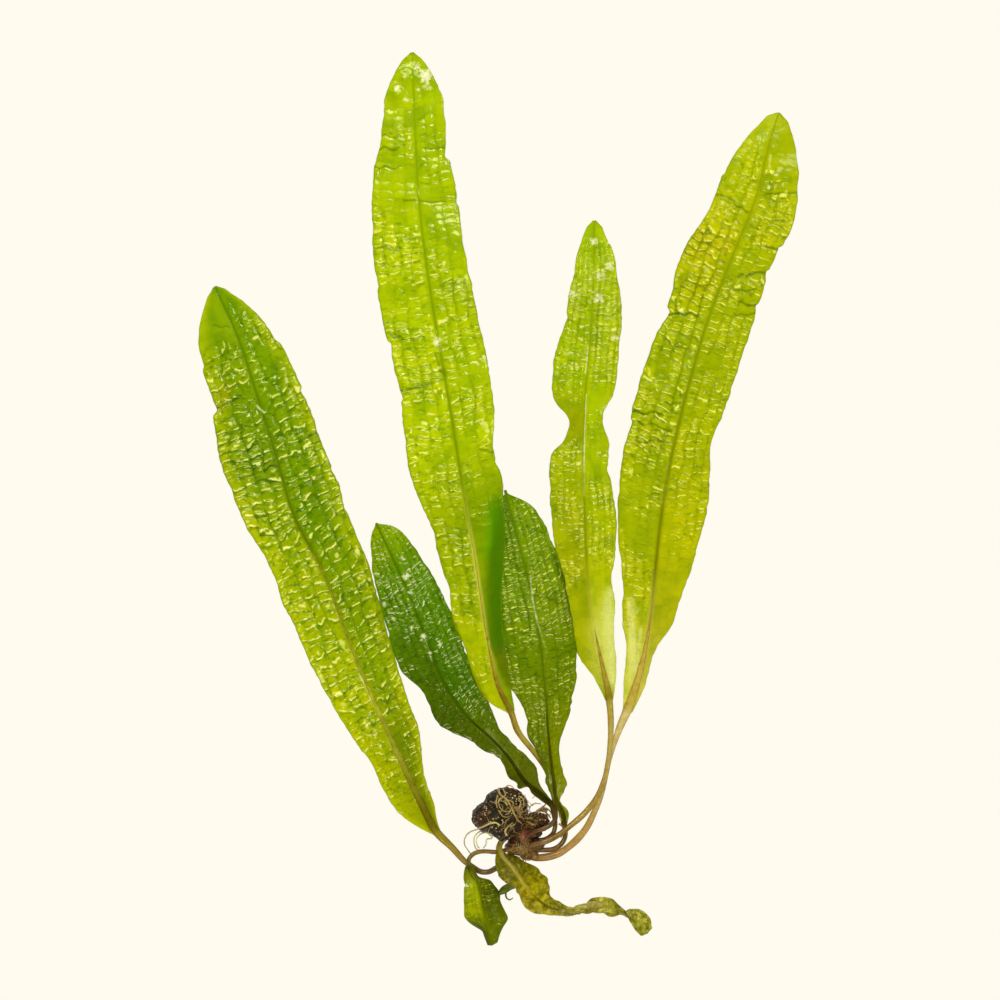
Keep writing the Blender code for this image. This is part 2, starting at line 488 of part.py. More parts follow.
def make_leaves(parts, crown_clearance, tuber_clearance):
    for name, leaf in leaves.items():
        material = new_material(name, leaf["colour"], 0.3)
        thing = add_object(name, loft(leaf_sections(leaf)), material, parts)
        add_boolean(thing, crown_clearance, "DIFFERENCE")
        if leaf.get("meets_tuber"):
            add_boolean(thing, tuber_clearance, "DIFFERENCE")


def strand(name, points, radius, material, collection):
    """A round strand through the points, as a curve with filled caps."""
    knots = along(points)
    count = max(5, round(knots[-1] / 2.2))
    smooth = flow(knots, points, np.linspace(0.0, knots[-1], count))
    curve = bpy.data.curves.new(name, "CURVE")
    curve.dimensions = "3D"
    curve.bevel_depth = radius * mm
    curve.bevel_resolution = 1
    curve.use_fill_caps = True
    spline = curve.splines.new("POLY")
    spline.points.add(count - 1)
    for target, point in zip(spline.points, smooth):
        target.co = (*(point * mm), 1.0)
    curve.materials.append(material)
    thing = bpy.data.objects.new(name, curve)
    collection.objects.link(thing)
    return thing


def make_roots(parts, tuber):
    material = new_material("root", root_colour, 0.5)
    surface = BVHTree.FromObject(tuber, bpy.context.evaluated_depsgraph_get())
    for name, points in roots.items():
        laid = []
        for x, y, z in points:
            if z is None:
                hit, normal = surface.ray_cast(Vector((x * mm, y * mm, 0.1)), Vector((0, 0, -1)))[:2]
                laid.append(hit / mm + normal * (root_radius + 2 * gap))
            else:
                laid.append(Vector((x, y, z)))
        strand(name, laid, root_radius, material, parts)


def solid_from_curve(thing, collection):
    """A closed mesh object in place of a curve object, its caps welded to its wall."""
    name = thing.name
    graph = bpy.context.evaluated_depsgraph_get()
    data = bpy.data.meshes.new_from_object(thing.evaluated_get(graph))
    mesh = bmesh.new()
    mesh.from_mesh(data)
    bmesh.ops.remove_doubles(mesh, verts=mesh.verts, dist=0.00001)
    mesh.to_mesh(data)
    mesh.free()
    solid = bpy.data.objects.new(name + "_solid", data)
    solid.matrix_world = thing.matrix_world
    bpy.data.objects.remove(thing, do_unlink=True)
    solid.name = name
    collection.objects.link(solid)
    return solid


def make_sprout(parts, cutters):
    material = new_material("sprout", sprout_colour, 0.4)
    stub = strand("sprout", sprout_stub, sprout_radius, material, parts)
    hook = strand("sprout_hook", sprout_hook, hook_radius, material, cutters)
    stub = solid_from_curve(stub, parts)
    hook = solid_from_curve(hook, cutters)
    as_cutter(hook)
    add_boolean(stub, hook, "UNION")


def main():
    clear_scene()
    parts = new_collection("aponogeton")
    cutters = new_collection("cutters")
    tuber, tuber_clearance = make_tuber(parts, cutters)
    crown_clearance = make_crown(parts, cutters, tuber_clearance)
    make_leaves(parts, crown_clearance, tuber_clearance)
    bpy.context.view_layer.update()
    make_roots(parts, tuber)
    make_sprout(parts, cutters)


main()
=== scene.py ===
import math

import bmesh
import bpy
import numpy as np
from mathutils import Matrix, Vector, noise
from mathutils.bvhtree import BVHTree


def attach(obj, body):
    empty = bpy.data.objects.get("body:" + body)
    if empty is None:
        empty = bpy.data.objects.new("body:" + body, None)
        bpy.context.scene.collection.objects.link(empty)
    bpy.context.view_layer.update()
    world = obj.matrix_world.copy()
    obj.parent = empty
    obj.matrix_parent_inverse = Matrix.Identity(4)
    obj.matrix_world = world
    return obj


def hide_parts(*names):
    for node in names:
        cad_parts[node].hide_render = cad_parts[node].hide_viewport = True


# A bare-rooted aponogeton on a lit table. Every table of places and widths is in millimetres.
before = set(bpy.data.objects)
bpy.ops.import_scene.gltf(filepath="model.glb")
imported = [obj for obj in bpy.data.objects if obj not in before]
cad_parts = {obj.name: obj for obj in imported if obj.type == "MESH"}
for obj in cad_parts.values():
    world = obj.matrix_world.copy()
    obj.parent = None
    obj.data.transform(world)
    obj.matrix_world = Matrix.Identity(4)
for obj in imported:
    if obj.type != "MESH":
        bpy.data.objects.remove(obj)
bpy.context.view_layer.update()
mm = 0.001


# Smooth curves through a few values

def along(points):
    steps = np.linalg.norm(np.diff(np.asarray(points, float), axis=0), axis=1)
    return np.concatenate([[0.0], np.cumsum(steps)])


def flow(knots, values, at):
    knots = np.asarray(knots, float)
    values = np.asarray(values, float)
    at = np.clip(np.asarray(at, float), knots[0], knots[-1])
    slopes = np.gradient(values, knots, axis=0)
    first = np.clip(np.searchsorted(knots, at, side="right") - 1, 0, len(knots) - 2)
    span = knots[first + 1] - knots[first]
    share = (at - knots[first]) / span
    if values.ndim > 1:
        span = span[..., None]
        share = share[..., None]
    start = (1 + 2 * share) * (1 - share) ** 2 * values[first]
    end = share ** 2 * (3 - 2 * share) * values[first + 1]
    bend = share * (1 - share) * span * ((1 - share) * slopes[first] - share * slopes[first + 1])
    return start + end + bend


def table(pairs, at):
    return flow([pair[0] for pair in pairs], [pair[1] for pair in pairs], at)


def wander(seed, step, at):  # a smooth uneven line between about -1 and 1
    knots = np.arange(-30 * step, 400.0, step)
    return flow(knots, np.random.default_rng(seed).uniform(-1, 1, len(knots)), at)


def onPath(points, step):
    knots = along(points)
    return flow(knots, points, np.linspace(0.0, knots[-1], max(6, round(knots[-1] / step))))


# Materials

class Reading:  # a socket that sums can be written with
    def __init__(self, finish, socket):
        self.finish = finish
        self.socket = socket

    def sum(self, operation, other, turned=False):
        pair = {0: other, 1: self} if turned else {0: self, 1: other}
        return self.finish.node("Math", {"operation": operation}, pair)

    def __add__(self, other):
        return self.sum("ADD", other)

    __radd__ = __add__

    def __sub__(self, other):
        return self.sum("SUBTRACT", other)

    def __rsub__(self, other):
        return self.sum("SUBTRACT", other, turned=True)

    def __mul__(self, other):
        return self.sum("MULTIPLY", other)

    __rmul__ = __mul__

    def __pow__(self, other):
        return self.sum("POWER", other)

    def fold(self):  # 1 at whole numbers, 0 half-way between them
        return 1.0 - self.sum("PINGPONG", 0.5) * 2.0

    def over(self, low, high):  # 0 below low, 1 above high, smooth between
        settings = {"interpolation_type": "SMOOTHSTEP", "clamp": True}
        return self.finish.node("MapRange", settings, {"Value": self, "From Min": low, "From Max": high})


class Finish:  # a material and its nodes
    def __init__(self, name):
        self.material = bpy.data.materials.new(name)
        self.material.use_nodes = True
        self.tree = self.material.node_tree
        self.tree.nodes.clear()

    def node(self, kind, settings=None, inputs=None, output=0):
        made = self.tree.nodes.new("ShaderNode" + kind)
        for key, value in (settings or {}).items():
            if key == "stops":
                self.setStops(made.color_ramp, value)
            else:
                setattr(made, key, value)
        for key, value in (inputs or {}).items():
            if isinstance(value, Reading):
                self.tree.links.new(value.socket, made.inputs[key])
            else:
                made.inputs[key].default_value = value
        return Reading(self, made.outputs[output])

    def setStops(self, ramp, stops):
        while len(ramp.elements) < len(stops):
            ramp.elements.new(0.5)
        for element, (place, colour) in zip(ramp.elements, stops):
            element.position = place
            element.color = (*colour, 1.0)

    def ramp(self, value, stops):
        return self.node("ValToRGB", {"stops": stops}, {0: value})

    def mark(self, name, output=0):  # what a mesh says at its points
        return self.node("Attribute", {"attribute_name": name}, output=output)

    def blend(self, share, first, second, way="MIX"):
        inputs = {0: share, 6: first, 7: second}
        for key in (6, 7):
            if not isinstance(inputs[key], Reading):
                inputs[key] = (*inputs[key], 1.0)
        return self.node("Mix", {"data_type": "RGBA", "blend_type": way}, inputs, output=2)

    def shade(self, share, colour, tint):  # darker by multiplying
        return self.blend(share, colour, tint, "MULTIPLY")

    def parts(self, vector):  # three numbers from a vector or a colour
        split = self.tree.nodes.new("ShaderNodeSeparateXYZ")
        self.tree.links.new(vector.socket, split.inputs[0])
        return [Reading(self, output) for output in split.outputs]

    def cloud(self, scale, detail=3.0, roughness=0.5, vector=None):  # the scale is in waves to the metre
        vector = vector or self.node("TexCoord", output=3)
        inputs = {"Vector": vector, "Scale": scale, "Detail": detail, "Roughness": roughness}
        return self.node("TexNoise", {}, inputs)

    def specks(self, scale):
        vector = self.node("TexCoord", output=3)
        return self.node("TexVoronoi", {}, {"Vector": vector, "Scale": scale})

    def bump(self, height, strength, distance):
        return self.node("Bump", {}, {"Height": height, "Strength": strength, "Distance": distance})

    def done(self, surface):
        out = self.tree.nodes.new("ShaderNodeOutputMaterial")
        self.tree.links.new(surface.socket, out.inputs["Surface"])
        return self.material


tableLight = (1.0, 0.965, 0.863)  # the lit table, as bright as it looks
seeThrough = 0.8                  # the share of a leaf's surface that lets the table's light through
frontLight = 0.2                  # what the lamps add to a leaf of colour 1
sheen = 0.004                     # what its gloss adds


def linear(value):
    value = value / 255
    return value / 12.92 if value <= 0.04045 else ((value + 0.055) / 1.055) ** 2.4


def backlit(red, green, blue):  # the surface colour of a thin leaf that looks like this on the lit table
    surface = []
    for value, light in zip((red, green, blue), tableLight):
        through = seeThrough ** 2 * light
        seen = max(linear(value) - sheen, 0.0)
        root = math.sqrt(frontLight ** 2 + 4 * through * seen)
        surface.append(min(1.0, max(0.003, (root - frontLight) / (2 * through))))
    return tuple(surface)


def backlitStops(rows):
    return [(place, backlit(*colour)) for place, *colour in rows]


def solid(red, green, blue):  # the surface colour of a thick piece that looks like this under the lamps
    return tuple(min(0.95, max(0.003, linear(value) - sheen)) for value in (red, green, blue))


def thin(finish, colour, roughness, normal, share=seeThrough, wet=1.0):
    gloss = {"Base Color": colour, "Roughness": roughness, "Specular IOR Level": 0.2, "Coat Weight": wet,
             "Coat Roughness": 0.05, "Coat IOR": 2.1, "Normal": normal, "Coat Normal": normal}
    shiny = finish.node("BsdfPrincipled", {}, gloss)
    through = finish.node("BsdfTranslucent", {}, {"Color": colour, "Normal": normal})
    return finish.done(finish.node("MixShader", {}, {0: share, 1: shiny, 2: through}))


def wetSkin(finish, colour, normal, specular, coat, coatRoughness):  # lets no light through
    gloss = {"Base Color": colour, "Roughness": 0.5, "Specular IOR Level": specular, "Coat Weight": coat,
             "Coat Roughness": coatRoughness, "Normal": normal, "Coat Normal": normal}
    return finish.done(finish.node("BsdfPrincipled", {}, gloss))


shades = {  # what a colour is multiplied by; dome is painted light on blister tops, fold is painted shade in folds, flank is a stalk's brown sides and painted shade
    "tone": (0.75, 0.84, 0.6), "dome": (1.14, 1.07, 1.0), "dots": (0.6, 0.6, 0.3),
    "fold": (0.46, 0.56, 0.25), "ribEdge": (0.72, 0.78, 0.5), "margin": (0.66, 0.76, 0.45),
    "stalk": (0.7, 0.58, 0.42), "flank": (0.6, 0.5, 0.35),
}


def leafFinish(name, leaf):
    finish = Finish(name)
    rib, tone, puff = finish.parts(finish.mark("look"))
    paintedLightAndPatches = finish.mark("look", 3)      # patches of painted shade, painted sheen or plain colour, and painted glares where it is negative
    column, row, swell = finish.parts(finish.mark("cell"))
    foldShadeAndShine = finish.mark("cell", 3)    # folds darkened as painted shade, and painted shining lines where it is negative

    # Blisters between wavering veins
    bend = finish.cloud(130.0, 1.0) - 0.5
    fromSide = (column + (finish.cloud(330.0, 2.0) - 0.5) * 0.4 + bend * 0.8).fold() * 0.84
    rows = row + (finish.cloud(390.0, 2.0) - 0.5) * 0.6 + bend * 1.3
    fromEnd = rows.fold()
    rim = (fromSide ** 3.0 + fromEnd ** 3.0) ** 0.333  # 0 in the middle of a blister, 1 in its veins
    dome = (1.0 - rim ** 3.5).sum("MAXIMUM", 0.0) * swell

    # Colours from base to tip, left and right of the rib
    spread = finish.node("UVMap", {"uv_map": "leafMap"})
    way, across, _ = finish.parts(spread)
    leftSide = finish.ramp(way, backlitStops(leaf["leftColours"]))
    rightSide = finish.ramp(way, backlitStops(leaf["rightColours"]))
    colour = finish.blend(across.over(0.46, 0.54), rightSide, leftSide)
    mottle = finish.cloud(70.0, 3.0, 0.6).over(0.4, 0.75) * 0.5
    mottle = mottle + finish.cloud(140.0, 3.0, 0.6).over(0.45, 0.65)
    colour = finish.shade(mottle * leaf["mottling"], colour, leaf["mottleShade"])
    outer = across.over(0.25, 0.0) + across.over(0.75, 1.0)
    colour = finish.blend(outer * leaf["edging"], colour, backlit(206, 206, 20))
    colour = finish.shade(tone * leaf["toneChange"], colour, shades["tone"])
    # Blister tops made lighter with their height: painted light.
    colour = finish.shade(dome * 0.8, colour, shades["dome"])

    # Veins and the valleys round blisters darkened, partly vein colour and partly painted shade, and fine
    # wrinkles across them
    faint = finish.cloud(120.0, 2.0).over(0.38, 0.58) * 0.6 + 0.4
    netted = puff.sum("MAXIMUM", leaf["net"])  # veins also show where the blade is flat
    veinAndValleyShade = rim.over(0.66, 1.0) * (netted * 0.8 + 0.2) * (tone * 0.4 + 0.6) * faint
    veinAndValleyShade = veinAndValleyShade * (fromEnd.over(0.2, 0.8) * 0.55 + 0.45)
    colour = finish.shade(veinAndValleyShade * leaf["veins"], colour, leaf["veinShade"])
    crosswise = finish.node("Mapping", {}, {"Vector": spread, "Scale": leaf["wrinkle"]})
    wrinkle = finish.cloud(1.0, 3.0, 0.6, crosswise)
    shade = wrinkle.over(0.47, 0.37) * netted.over(0.0, 0.5) * 0.7
    colour = finish.shade(shade, colour, leaf["veinShade"])

    # Painted highlights: glint arcs at the lower ends of blisters, flecks on wrinkles and spots on blister
    # tops
    wet = finish.cloud(300.0, 2.0, 0.6).over(0.4, 0.52) * rows.sum("FRACT", 0.0).over(0.5, 0.4)
    glintArc = rim.over(0.56, 0.68) * rim.over(0.94, 0.8) * fromEnd.over(0.3, 0.6) * fromSide.over(0.84, 0.5)
    glintArc = glintArc * swell.over(0.05, 0.4) * wet
    glintFleck = wrinkle.over(0.59, 0.66) * swell.over(0.05, 0.4) * finish.cloud(190.0, 2.0).over(0.42, 0.56)
    glintSpot = rim.over(0.4, 0.15) * swell.over(0.2, 0.7) * finish.cloud(230.0, 2.0).over(0.5, 0.6) * 0.7
    paintedGlints = glintArc.sum("MAXIMUM", glintFleck).sum("MAXIMUM", glintSpot).over(0.15, 0.75)
    colour = finish.blend(paintedGlints * leaf["glint"], colour, backlit(*leaf["glintColour"]))
    if "decayColour" in leaf:
        spoilt = finish.cloud(480.0, 4.0, 0.7).over(0.46, 0.6)
        colour = finish.blend(spoilt * 0.8, colour, backlit(*leaf["decayColour"]))
        bleached = finish.cloud(900.0, 4.0, 0.7).over(0.53, 0.64)
        colour = finish.blend(bleached * 0.6, colour, backlit(*leaf["bleachedColour"]))
        dots = finish.specks(820.0).over(0.42, 0.72)
        colour = finish.shade(dots * 0.75, colour, shades["dots"])

    # Folds darkened as painted shade, the rib and the thin dark margin
    colour = finish.shade(foldShadeAndShine.over(0.0, 0.9) * 0.9, colour, shades["fold"])
    ribColour = finish.ramp(way, backlitStops(leaf["ribColours"]))
    colour = finish.blend(rib * leaf["ribStrength"], colour, ribColour)
    colour = finish.shade(rib.over(0.5, 1.0) * 0.5, colour, shades["ribEdge"])
    margin = across.over(0.018, 0.0) + across.over(0.982, 1.0)
    colour = finish.shade(margin * 0.7, colour, shades["margin"])

    # Patches of painted shade, painted sheen or plain colour, painted glares and painted shining lines
    lengthwise = finish.node("Mapping", {}, {"Vector": spread, "Scale": leaf["fibre"]})
    fibres = finish.cloud(1.0, 2.0, 0.5, lengthwise)
    patchy = fibres.over(0.35, 0.6) * 0.3 + wrinkle.over(0.4, 0.6) * 0.35 + 0.4
    colour = finish.blend(paintedLightAndPatches.sum("MAXIMUM", 0.0) * patchy, colour, backlit(*leaf["patchAndPaintedLightColour"]))
    broken = (finish.cloud(800.0, 4.0, 0.7) - 0.5) * 3.0 + (wrinkle - 0.5) * 1.2
    shine = (broken - paintedLightAndPatches).over(0.45, 0.8) * paintedLightAndPatches.over(-0.02, -0.25)
    shine = shine + foldShadeAndShine.over(0.0, -1.0) * (broken + 0.8)
    colour = finish.blend(shine.over(0.0, 1.0) * 0.9, colour, (1.0, 1.0, 0.93))

    # Relief and gloss
    ripple = finish.cloud(500.0, 2.0, 0.5) * 0.25 + fibres * 0.15 + finish.cloud(1100.0, 2.0, 0.5) * 0.12
    normal = finish.bump(ripple + dome * leaf["relief"], 1.0, 0.00017)
    roughness = finish.cloud(260.0, 2.0, 0.5).over(0.3, 0.75) * 0.16 + 0.12
    coat = finish.cloud(150.0, 2.0, 0.6).over(0.3, 0.55) * 0.6 + 0.4
    return thin(finish, colour, roughness, normal, wet=coat * leaf["wet"])


def stalkFinish(name, leaf):
    finish = Finish(name)
    onStalk, flank, onBlade = finish.parts(finish.mark("look"))
    colour = finish.ramp(onStalk, backlitStops(leaf["stalkColours"]))
    colour = finish.blend(onBlade.over(0.0, 0.3), colour, backlit(*leaf["ribEndColour"]))
    mottle = finish.cloud(420.0, 3.0, 0.6).over(0.4, 0.7)
    colour = finish.shade(mottle * 0.5, colour, shades["stalk"])
    # The stalk's sides darkened, broken by streaks: brown edge colour and painted shade.
    streak = finish.cloud(700.0, 2.0, 0.5).over(0.35, 0.65)
    shade = flank.over(0.45, 0.95) * (streak * 0.5 + 0.5)
    colour = finish.shade(shade, colour, shades["flank"])
    normal = finish.bump(finish.cloud(900.0, 3.0, 0.6), 0.4, 0.0001)
    return thin(finish, colour, 0.2, normal, onBlade.over(0.0, 0.06) * 0.16 + seeThrough)


# Pieces

def placed(name, data):
    holder = bpy.data.objects.new(name, data)
    bpy.context.scene.collection.objects.link(holder)
    return holder


def meshData(mesh, name):
    data = bpy.data.meshes.new(name)
    mesh.to_mesh(data)
    mesh.free()
    return data


def gridData(name, rings, strips, size):
    mesh = bmesh.new()
    bmesh.ops.create_grid(mesh, x_segments=rings, y_segments=strips, size=size)
    return meshData(mesh, name)


def solidData(mesh, name):
    bmesh.ops.recalc_face_normals(mesh, faces=mesh.faces)
    return meshData(mesh, name)


def addPiece(name, data, material, nodes):
    piece = placed(name, data)
    data.materials.append(material)
    data.shade_smooth()
    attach(piece, "root")
    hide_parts(*nodes)
    return piece


def places(data):
    flat = np.zeros(len(data.vertices) * 3)
    data.vertices.foreach_get("co", flat)
    return flat.reshape(-1, 3)


def addMarks(data, name, columns):
    layer = data.color_attributes.new(name, "FLOAT_COLOR", "POINT")
    layer.data.foreach_set("color", np.stack(columns, axis=1).ravel())


def unit(vectors):
    return vectors / np.linalg.norm(vectors, axis=1, keepdims=True)


def sweep(centre, turn):  # unit vectors to the left and upwards, turned about the path by degrees
    ahead = unit(np.gradient(centre, axis=0))
    left = unit(np.cross(np.array([0.0, 0.0, 1.0]), ahead))
    upward = np.cross(ahead, left)
    angle = np.radians(turn)[:, None]
    return left * np.cos(angle) + upward * np.sin(angle), upward * np.cos(angle) - left * np.sin(angle)


blade = {  # what all blades share
    "wall": 0.3, "missingVeins": 0.08, "ringSpacing": 0.86, "stripSpacing": 1.16, "ribReach": 0.9,
    "narrowest": 0.12, "veinSway": 0.16, "bow": 0.35, "creaseDepth": 0.12, "lowest": 0.4, "shineReach": 0.36,
}


def quilting(cells, distance, across, width):
    # Blisters stand in columns between lengthwise veins, cut apart by slanting cross veins.
    draw = np.random.default_rng(cells["seed"])
    columns = cells["columns"]
    low, high = cells["length"]
    count = int(distance.max() / low) + 30
    crowding = columns * (0.4 + 0.6 * width / width.max())  # fewer columns where the blade is narrow
    height, columnAt, rowAt, swell, tone = np.zeros((5, len(distance)))
    for side, slant in ((-1, cells["slant"][1]), (1, cells["slant"][0])):
        half = np.flatnonzero(across * side >= 0)
        reach = np.abs(across[half])
        place = reach * crowding[half]
        way = distance[half]
        veins = [np.full(len(half), -0.0001)]
        for number in range(1, columns):
            veins.append(number + blade["veinSway"] * wander(cells["seed"] + 10 * side + number, 7.0, way))
        veins.append(np.full(len(half), columns + 0.0001))
        shared = np.cumsum(draw.uniform(low, high, count)) - 15
        for number in range(columns):
            inside = (place > veins[number]) & (place <= veins[number + 1])
            pick = half[inside]
            within = (place[inside] - veins[number][inside]) / (veins[number + 1] - veins[number])[inside]
            kept = draw.uniform(0, 1, count) > blade["missingVeins"]
            cuts = np.sort(shared[kept] + draw.uniform(-0.22, 0.22, kept.sum()) * low)
            swells = draw.uniform(0.3, 1.0, len(cuts))
            shades = draw.uniform(0.0, 1.0, len(cuts))
            bow = blade["bow"] * np.sin(math.pi * within)
            bow = bow + blade["bow"] * wander(cells["seed"] + 40 + number, 2.5, way[inside] + 3 * within)
            at = way[inside] - slant * reach[inside] * width[pick] - bow
            cell = np.clip(np.searchsorted(cuts, at, side="right") - 1, 0, len(cuts) - 2)
            share = np.clip((at - cuts[cell]) / (cuts[cell + 1] - cuts[cell]), 0.0, 1.0)
            edge = (np.abs(2 * share - 1) ** 3 + np.abs(2 * within - 1) ** 3) ** (1 / 3)
            height[pick] = swells[cell] * np.clip(1 - edge ** 2.4, 0.0, 1.0)
            columnAt[pick] = side * (number + within)
            rowAt[pick] = cell + share
            swell[pick] = swells[cell]
            tone[pick] = shades[cell]
    return height, columnAt, rowAt, swell, tone


def nearLine(points, line):  # how far each point is from a straight line between two places
    x, y, endX, endY = line
    run = np.array([endX - x, endY - y])
    offset = points[:, :2] - (x, y)
    share = np.clip(offset @ run / (run @ run), 0.0, 1.0)
    return np.linalg.norm(offset - share[:, None] * run, axis=1)


def bell(distance, reach):  # 1 in the middle, fading to 0 beyond its reach
    return np.exp(-(distance / reach) ** 2)


def marginWidths(leaf, ringAt):  # how wide the left and the right half are at each ring
    toTip = ringAt[-1] - ringAt
    uneven = leaf["uneven"] * np.clip(np.minimum(ringAt, toTip) / 12, 0, 1)
    blunt = np.sqrt(np.clip(toTip / leaf["point"], 0.0, 1.0))
    widths = []
    for side, seed in (("left", leaf["seed"]), ("right", leaf["seed"] + 50)):
        margin = table(leaf[side], ringAt)
        margin = margin + uneven * (0.5 * wander(seed, 1.3, ringAt) + wander(seed + 1, 4.5, ringAt))
        for nickSide, where, depth, reach in leaf["nicks"]:  # sharp at where, fading over its reach
            beyond = (ringAt - where) * np.sign(reach)
            if nickSide == side:
                sharp = 0.5 + 0.5 * np.tanh(beyond / 0.7)
                margin = margin - depth * np.exp(-np.abs(beyond / reach)) * sharp
        widths.append(np.maximum(margin * blunt, blade["narrowest"]))
    return widths


def laidMarks(leaf, points):  # how deep folds are, then folds for painted shade with painted shining lines, then patches of painted shade, painted sheen or plain colour with painted glares
    bent = points + 0.5 * wander(leaf["seed"] + 3, 1.7, points[:, 0] + 200)[:, None]
    fold = np.zeros(len(points))
    for *line, depth, spreading in leaf["creases"]:
        fold = np.maximum(fold, depth * bell(nearLine(bent, line), spreading))
    foldShadeAndShine = fold
    for *line, strength in leaf["shines"]:
        shine = -strength * bell(nearLine(bent, line), blade["shineReach"])
        foldShadeAndShine = np.where(foldShadeAndShine > 0.3, foldShadeAndShine, np.minimum(foldShadeAndShine, shine))
    paintedLightAndPatches = np.zeros(len(points))
    for *line, strength, spreading in leaf["patchesAndPaintedLight"]:
        paintedLightAndPatches = np.maximum(paintedLightAndPatches, strength * bell(nearLine(bent, line), spreading))
    for x, y, radius, strength in leaf["glares"]:
        glare = strength * bell(np.hypot(points[:, 0] - x, points[:, 1] - y), radius)
        paintedLightAndPatches = np.where(glare > np.abs(paintedLightAndPatches), -glare, paintedLightAndPatches)
    return fold, foldShadeAndShine, paintedLightAndPatches


def bladePiece(name, node, leaf, finish):
    path = leaf["stalk"] + leaf["rib"]
    knots = along(path)
    base = knots[len(leaf["stalk"])]
    length = knots[-1] - base
    widest = max(pair[1] for pair in leaf["left"] + leaf["right"])
    rings = int(length / leaf["step"] / blade["ringSpacing"])
    strips = 2 * int(widest / leaf["step"] / blade["stripSpacing"])
    data = gridData(name, rings, strips, 1.0)
    flat = places(data)
    ring = np.rint((flat[:, 0] + 1) / 2 * rings).astype(int)
    across = flat[:, 1]
    onLeft = across > 0
    ringAt = np.linspace(0.0, length, rings + 1)
    centre = flow(knots, path, base + ringAt)
    turn = table(leaf["turn"], ringAt)
    left, upward = sweep(centre, turn)
    distance = ringAt[ring]
    toTip = length - distance
    share = distance / length

    # Width, lift and waves
    leftWidth, rightWidth = marginWidths(leaf, ringAt)
    width = np.where(onLeft, leftWidth[ring], rightWidth[ring])
    fromRib = np.abs(width * across)
    lift = np.where(onLeft, table(leaf["leftLift"], ringAt)[ring], table(leaf["rightLift"], ringAt)[ring])
    lift = (lift - centre[ring, 2]) * np.cos(np.radians(turn[ring]))
    waveHeight, waveLength, phase = leaf["ruffle"]
    wave = waveHeight * np.sin(2 * math.pi * distance / waveLength + phase + 1.7 * onLeft)
    wave = wave * np.clip(toTip / 40, 0.1, 1)
    wave = wave + table(leaf["cup"], distance)
    slow = 0.3 * wander(leaf["seed"] + 5, 7.0, distance + 8.0 * across) * np.abs(across)
    slow = slow * np.clip(toTip / 15, 0.2, 1) * np.clip(distance / 15, 0, 1)

    # Blisters, flat along the rib and the margin
    cells = leaf["cells"]
    height, columnAt, rowAt, swells, tone = quilting(cells, distance, across, width)
    puff = np.where(onLeft, table(cells["left"], share), table(cells["right"], share))
    patch = 0.6 + 0.4 * wander(leaf["seed"] + 7, 9.0, distance + 7.0 * across)
    patch = patch + 0.4 * wander(leaf["seed"] + 8, 6.0, 0.7 * distance - 11.0 * across)
    puff = puff * np.clip(patch, 0.25, 1.0)
    nearRib = bell(fromRib, blade["ribReach"])
    atMargin = np.clip((1 - np.abs(across)) * width / 0.9, 0, 1)
    puff = puff * (1 - nearRib) * atMargin
    swell = cells["height"] * puff * height
    furrow = leaf["furrow"] * nearRib * np.clip(np.minimum(distance / 25, toTip / 35), 0, 1)

    rise = (lift + wave) * across ** 2 + swell + slow - furrow + leaf["above"]
    points = centre[ring] + left[ring] * (width * across)[:, None] + upward[ring] * rise[:, None]
    for x, y, radius, tall in leaf["domes"]:
        points[:, 2] += tall * bell(np.hypot(points[:, 0] - x, points[:, 1] - y), radius)
    fold, foldShadeAndShine, paintedLightAndPatches = laidMarks(leaf, points)
    points[:, 2] = np.maximum(points[:, 2] - blade["creaseDepth"] * fold, blade["lowest"])
    data.vertices.foreach_set("co", (points * mm).ravel())
    data.update()

    # What the finish reads
    rib = bell(fromRib, leaf["ribWidth"] * (1.15 - 0.55 * share))
    addMarks(data, "look", [rib, tone, puff, paintedLightAndPatches])
    addMarks(data, "cell", [columnAt, rowAt, swells * puff, foldShadeAndShine])
    spread = np.stack([share, across / 2 + 0.5], axis=1)
    corners = np.zeros(len(data.loops), dtype=np.int32)
    data.loops.foreach_get("vertex_index", corners)
    data.uv_layers.new(name="leafMap").data.foreach_set("uv", spread[corners].ravel())
    piece = addPiece(name, data, finish, [node])
    thickness = piece.modifiers.new("leafThickness", "SOLIDIFY")
    thickness.thickness = blade["wall"] * mm
    thickness.offset = -1.0


def carryFrame(path):  # two unit vectors square to a path, carried along it without twisting
    ahead = unit(np.gradient(path, axis=0))
    side = np.cross(ahead[0], [0.0, 0.0, 1.0])
    if np.linalg.norm(side) < 0.1:
        side = np.cross(ahead[0], [1.0, 0.0, 0.0])
    sides = []
    for step in ahead:
        side = side - step * np.dot(side, step)
        side = side / np.linalg.norm(side)
        sides.append(side)
    sides = np.array(sides)
    return sides, np.cross(sides, ahead)


def newMesh():
    mesh = bmesh.new()
    mesh.verts.layers.float_color.new("look")
    return mesh


